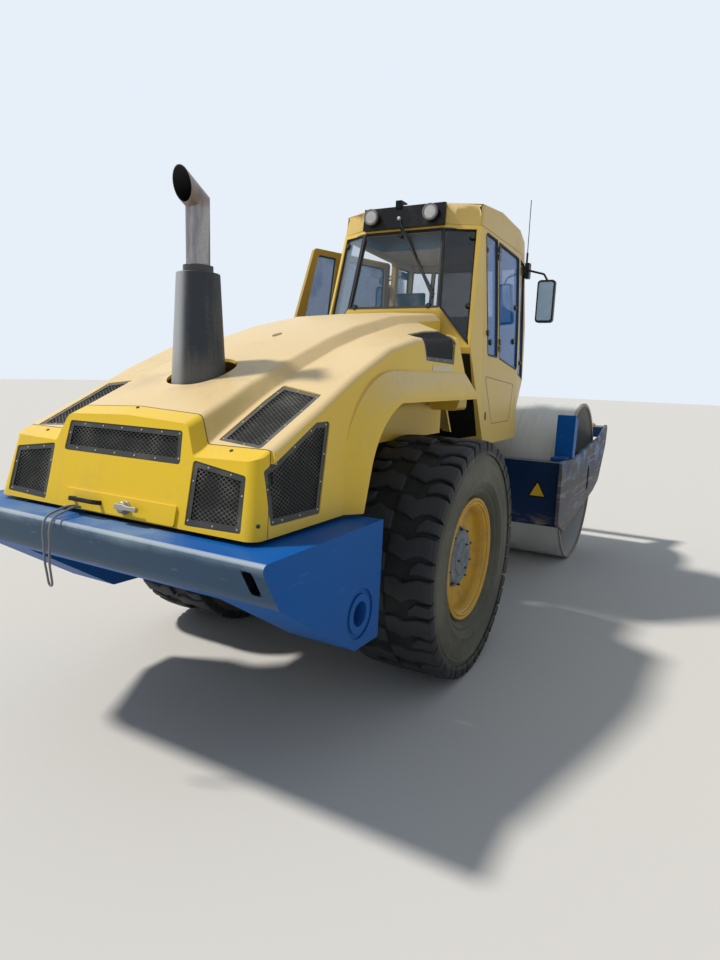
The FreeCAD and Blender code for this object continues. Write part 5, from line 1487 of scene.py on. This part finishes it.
def makeCord():
    points = [(x / 1000.0 + fromAxle, y / 1000.0, z / 1000.0) for x, y, z in cordPull["route"]]
    line = bpy.data.curves.new("pull_cord", "CURVE")
    line.dimensions = "3D"
    run = line.splines.new("NURBS")
    run.points.add(len(points) - 1)
    for control, at in zip(run.points, points):
        control.co = at + (1.0,)
    run.order_u, run.use_endpoint_u = 3, True
    run.resolution_u = 10
    line.bevel_depth, line.bevel_resolution = cordPull["diameter"] / 2.0, 4
    line.use_fill_caps = True
    line.materials.append(finishes["cord_fabric"])
    made = bpy.data.objects.new("pull_cord", line)
    bpy.context.scene.collection.objects.link(made)
    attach(made, "hood")
    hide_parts("tail_cord")
    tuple(points[0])


makeCord()
print("cord laid")


# Studio: a pale floor, one soft key from the upper left behind the machine, and a pale room

studio = {"reach": 60.0, "floor": (0.62, 0.60, 0.57), "floorGrain": (0.55, 0.53, 0.50), "keyStrength": 3.3,
          "keyAngle": 5.0, "keyColour": (1.0, 0.965, 0.90), "keyWay": (-0.29, 0.67, 1.0),
          "back": (0.80, 0.87, 0.95, 1.0), "room": (0.78, 0.88, 1.0, 1.0), "roomStrength": 0.42}


def makeStudio():
    mesh = bpy.data.meshes.new("floor")
    corners = [(a * studio["reach"], b * studio["reach"], 0) for a, b in ((-1, -1), (1, -1), (1, 1), (-1, 1))]
    mesh.from_pydata(corners, [], [(0, 1, 2, 3)])
    floor = bpy.data.objects.new("floor", mesh)
    bpy.context.scene.collection.objects.link(floor)
    f = Finish("floor")
    grain = f.noise(14.0, 6.0, 0.7)
    colour = f.blend(grain * 0.12, studio["floor"], studio["floorGrain"])
    floor.data.materials.append(f.surface(colour=colour, roughness=0.9, specular=0.2))
    key = bpy.data.lights.new("key", "SUN")
    key.energy, key.angle, key.color = studio["keyStrength"], math.radians(studio["keyAngle"]), studio["keyColour"]
    lamp = bpy.data.objects.new("key", key)
    lamp.rotation_euler = Vector(studio["keyWay"]).to_track_quat("Z", "Y").to_euler()
    bpy.context.scene.collection.objects.link(lamp)
    room = bpy.data.worlds.new("room")
    bpy.context.scene.world = room
    room.use_nodes = True
    sky = room.node_tree
    sky.nodes.clear()
    back = sky.nodes.new("ShaderNodeBackground")
    out = sky.nodes.new("ShaderNodeOutputWorld")
    paths = sky.nodes.new("ShaderNodeLightPath")
    light = sky.nodes.new("ShaderNodeBackground")
    mix = sky.nodes.new("ShaderNodeMixShader")
    back.inputs[0].default_value, back.inputs[1].default_value = studio["back"], 1.0
    light.inputs[0].default_value, light.inputs[1].default_value = studio["room"], studio["roomStrength"]
    seen = sky.nodes.new("ShaderNodeMath")
    seen.operation = "ADD"
    seen.use_clamp = True
    sky.links.new(paths.outputs["Is Camera Ray"], seen.inputs[0])
    sky.links.new(paths.outputs["Is Glossy Ray"], seen.inputs[1])
    both = sky.nodes.new("ShaderNodeMath")
    both.operation = "ADD"
    both.use_clamp = True
    sky.links.new(seen.outputs[0], both.inputs[0])
    sky.links.new(paths.outputs["Is Transmission Ray"], both.inputs[1])
    sky.links.new(both.outputs[0], mix.inputs[0])
    sky.links.new(light.outputs[0], mix.inputs[1])
    sky.links.new(back.outputs[0], mix.inputs[2])
    sky.links.new(mix.outputs[0], out.inputs[0])
    bpy.context.scene.view_settings.view_transform = "Standard"


makeStudio()
print("studio set")
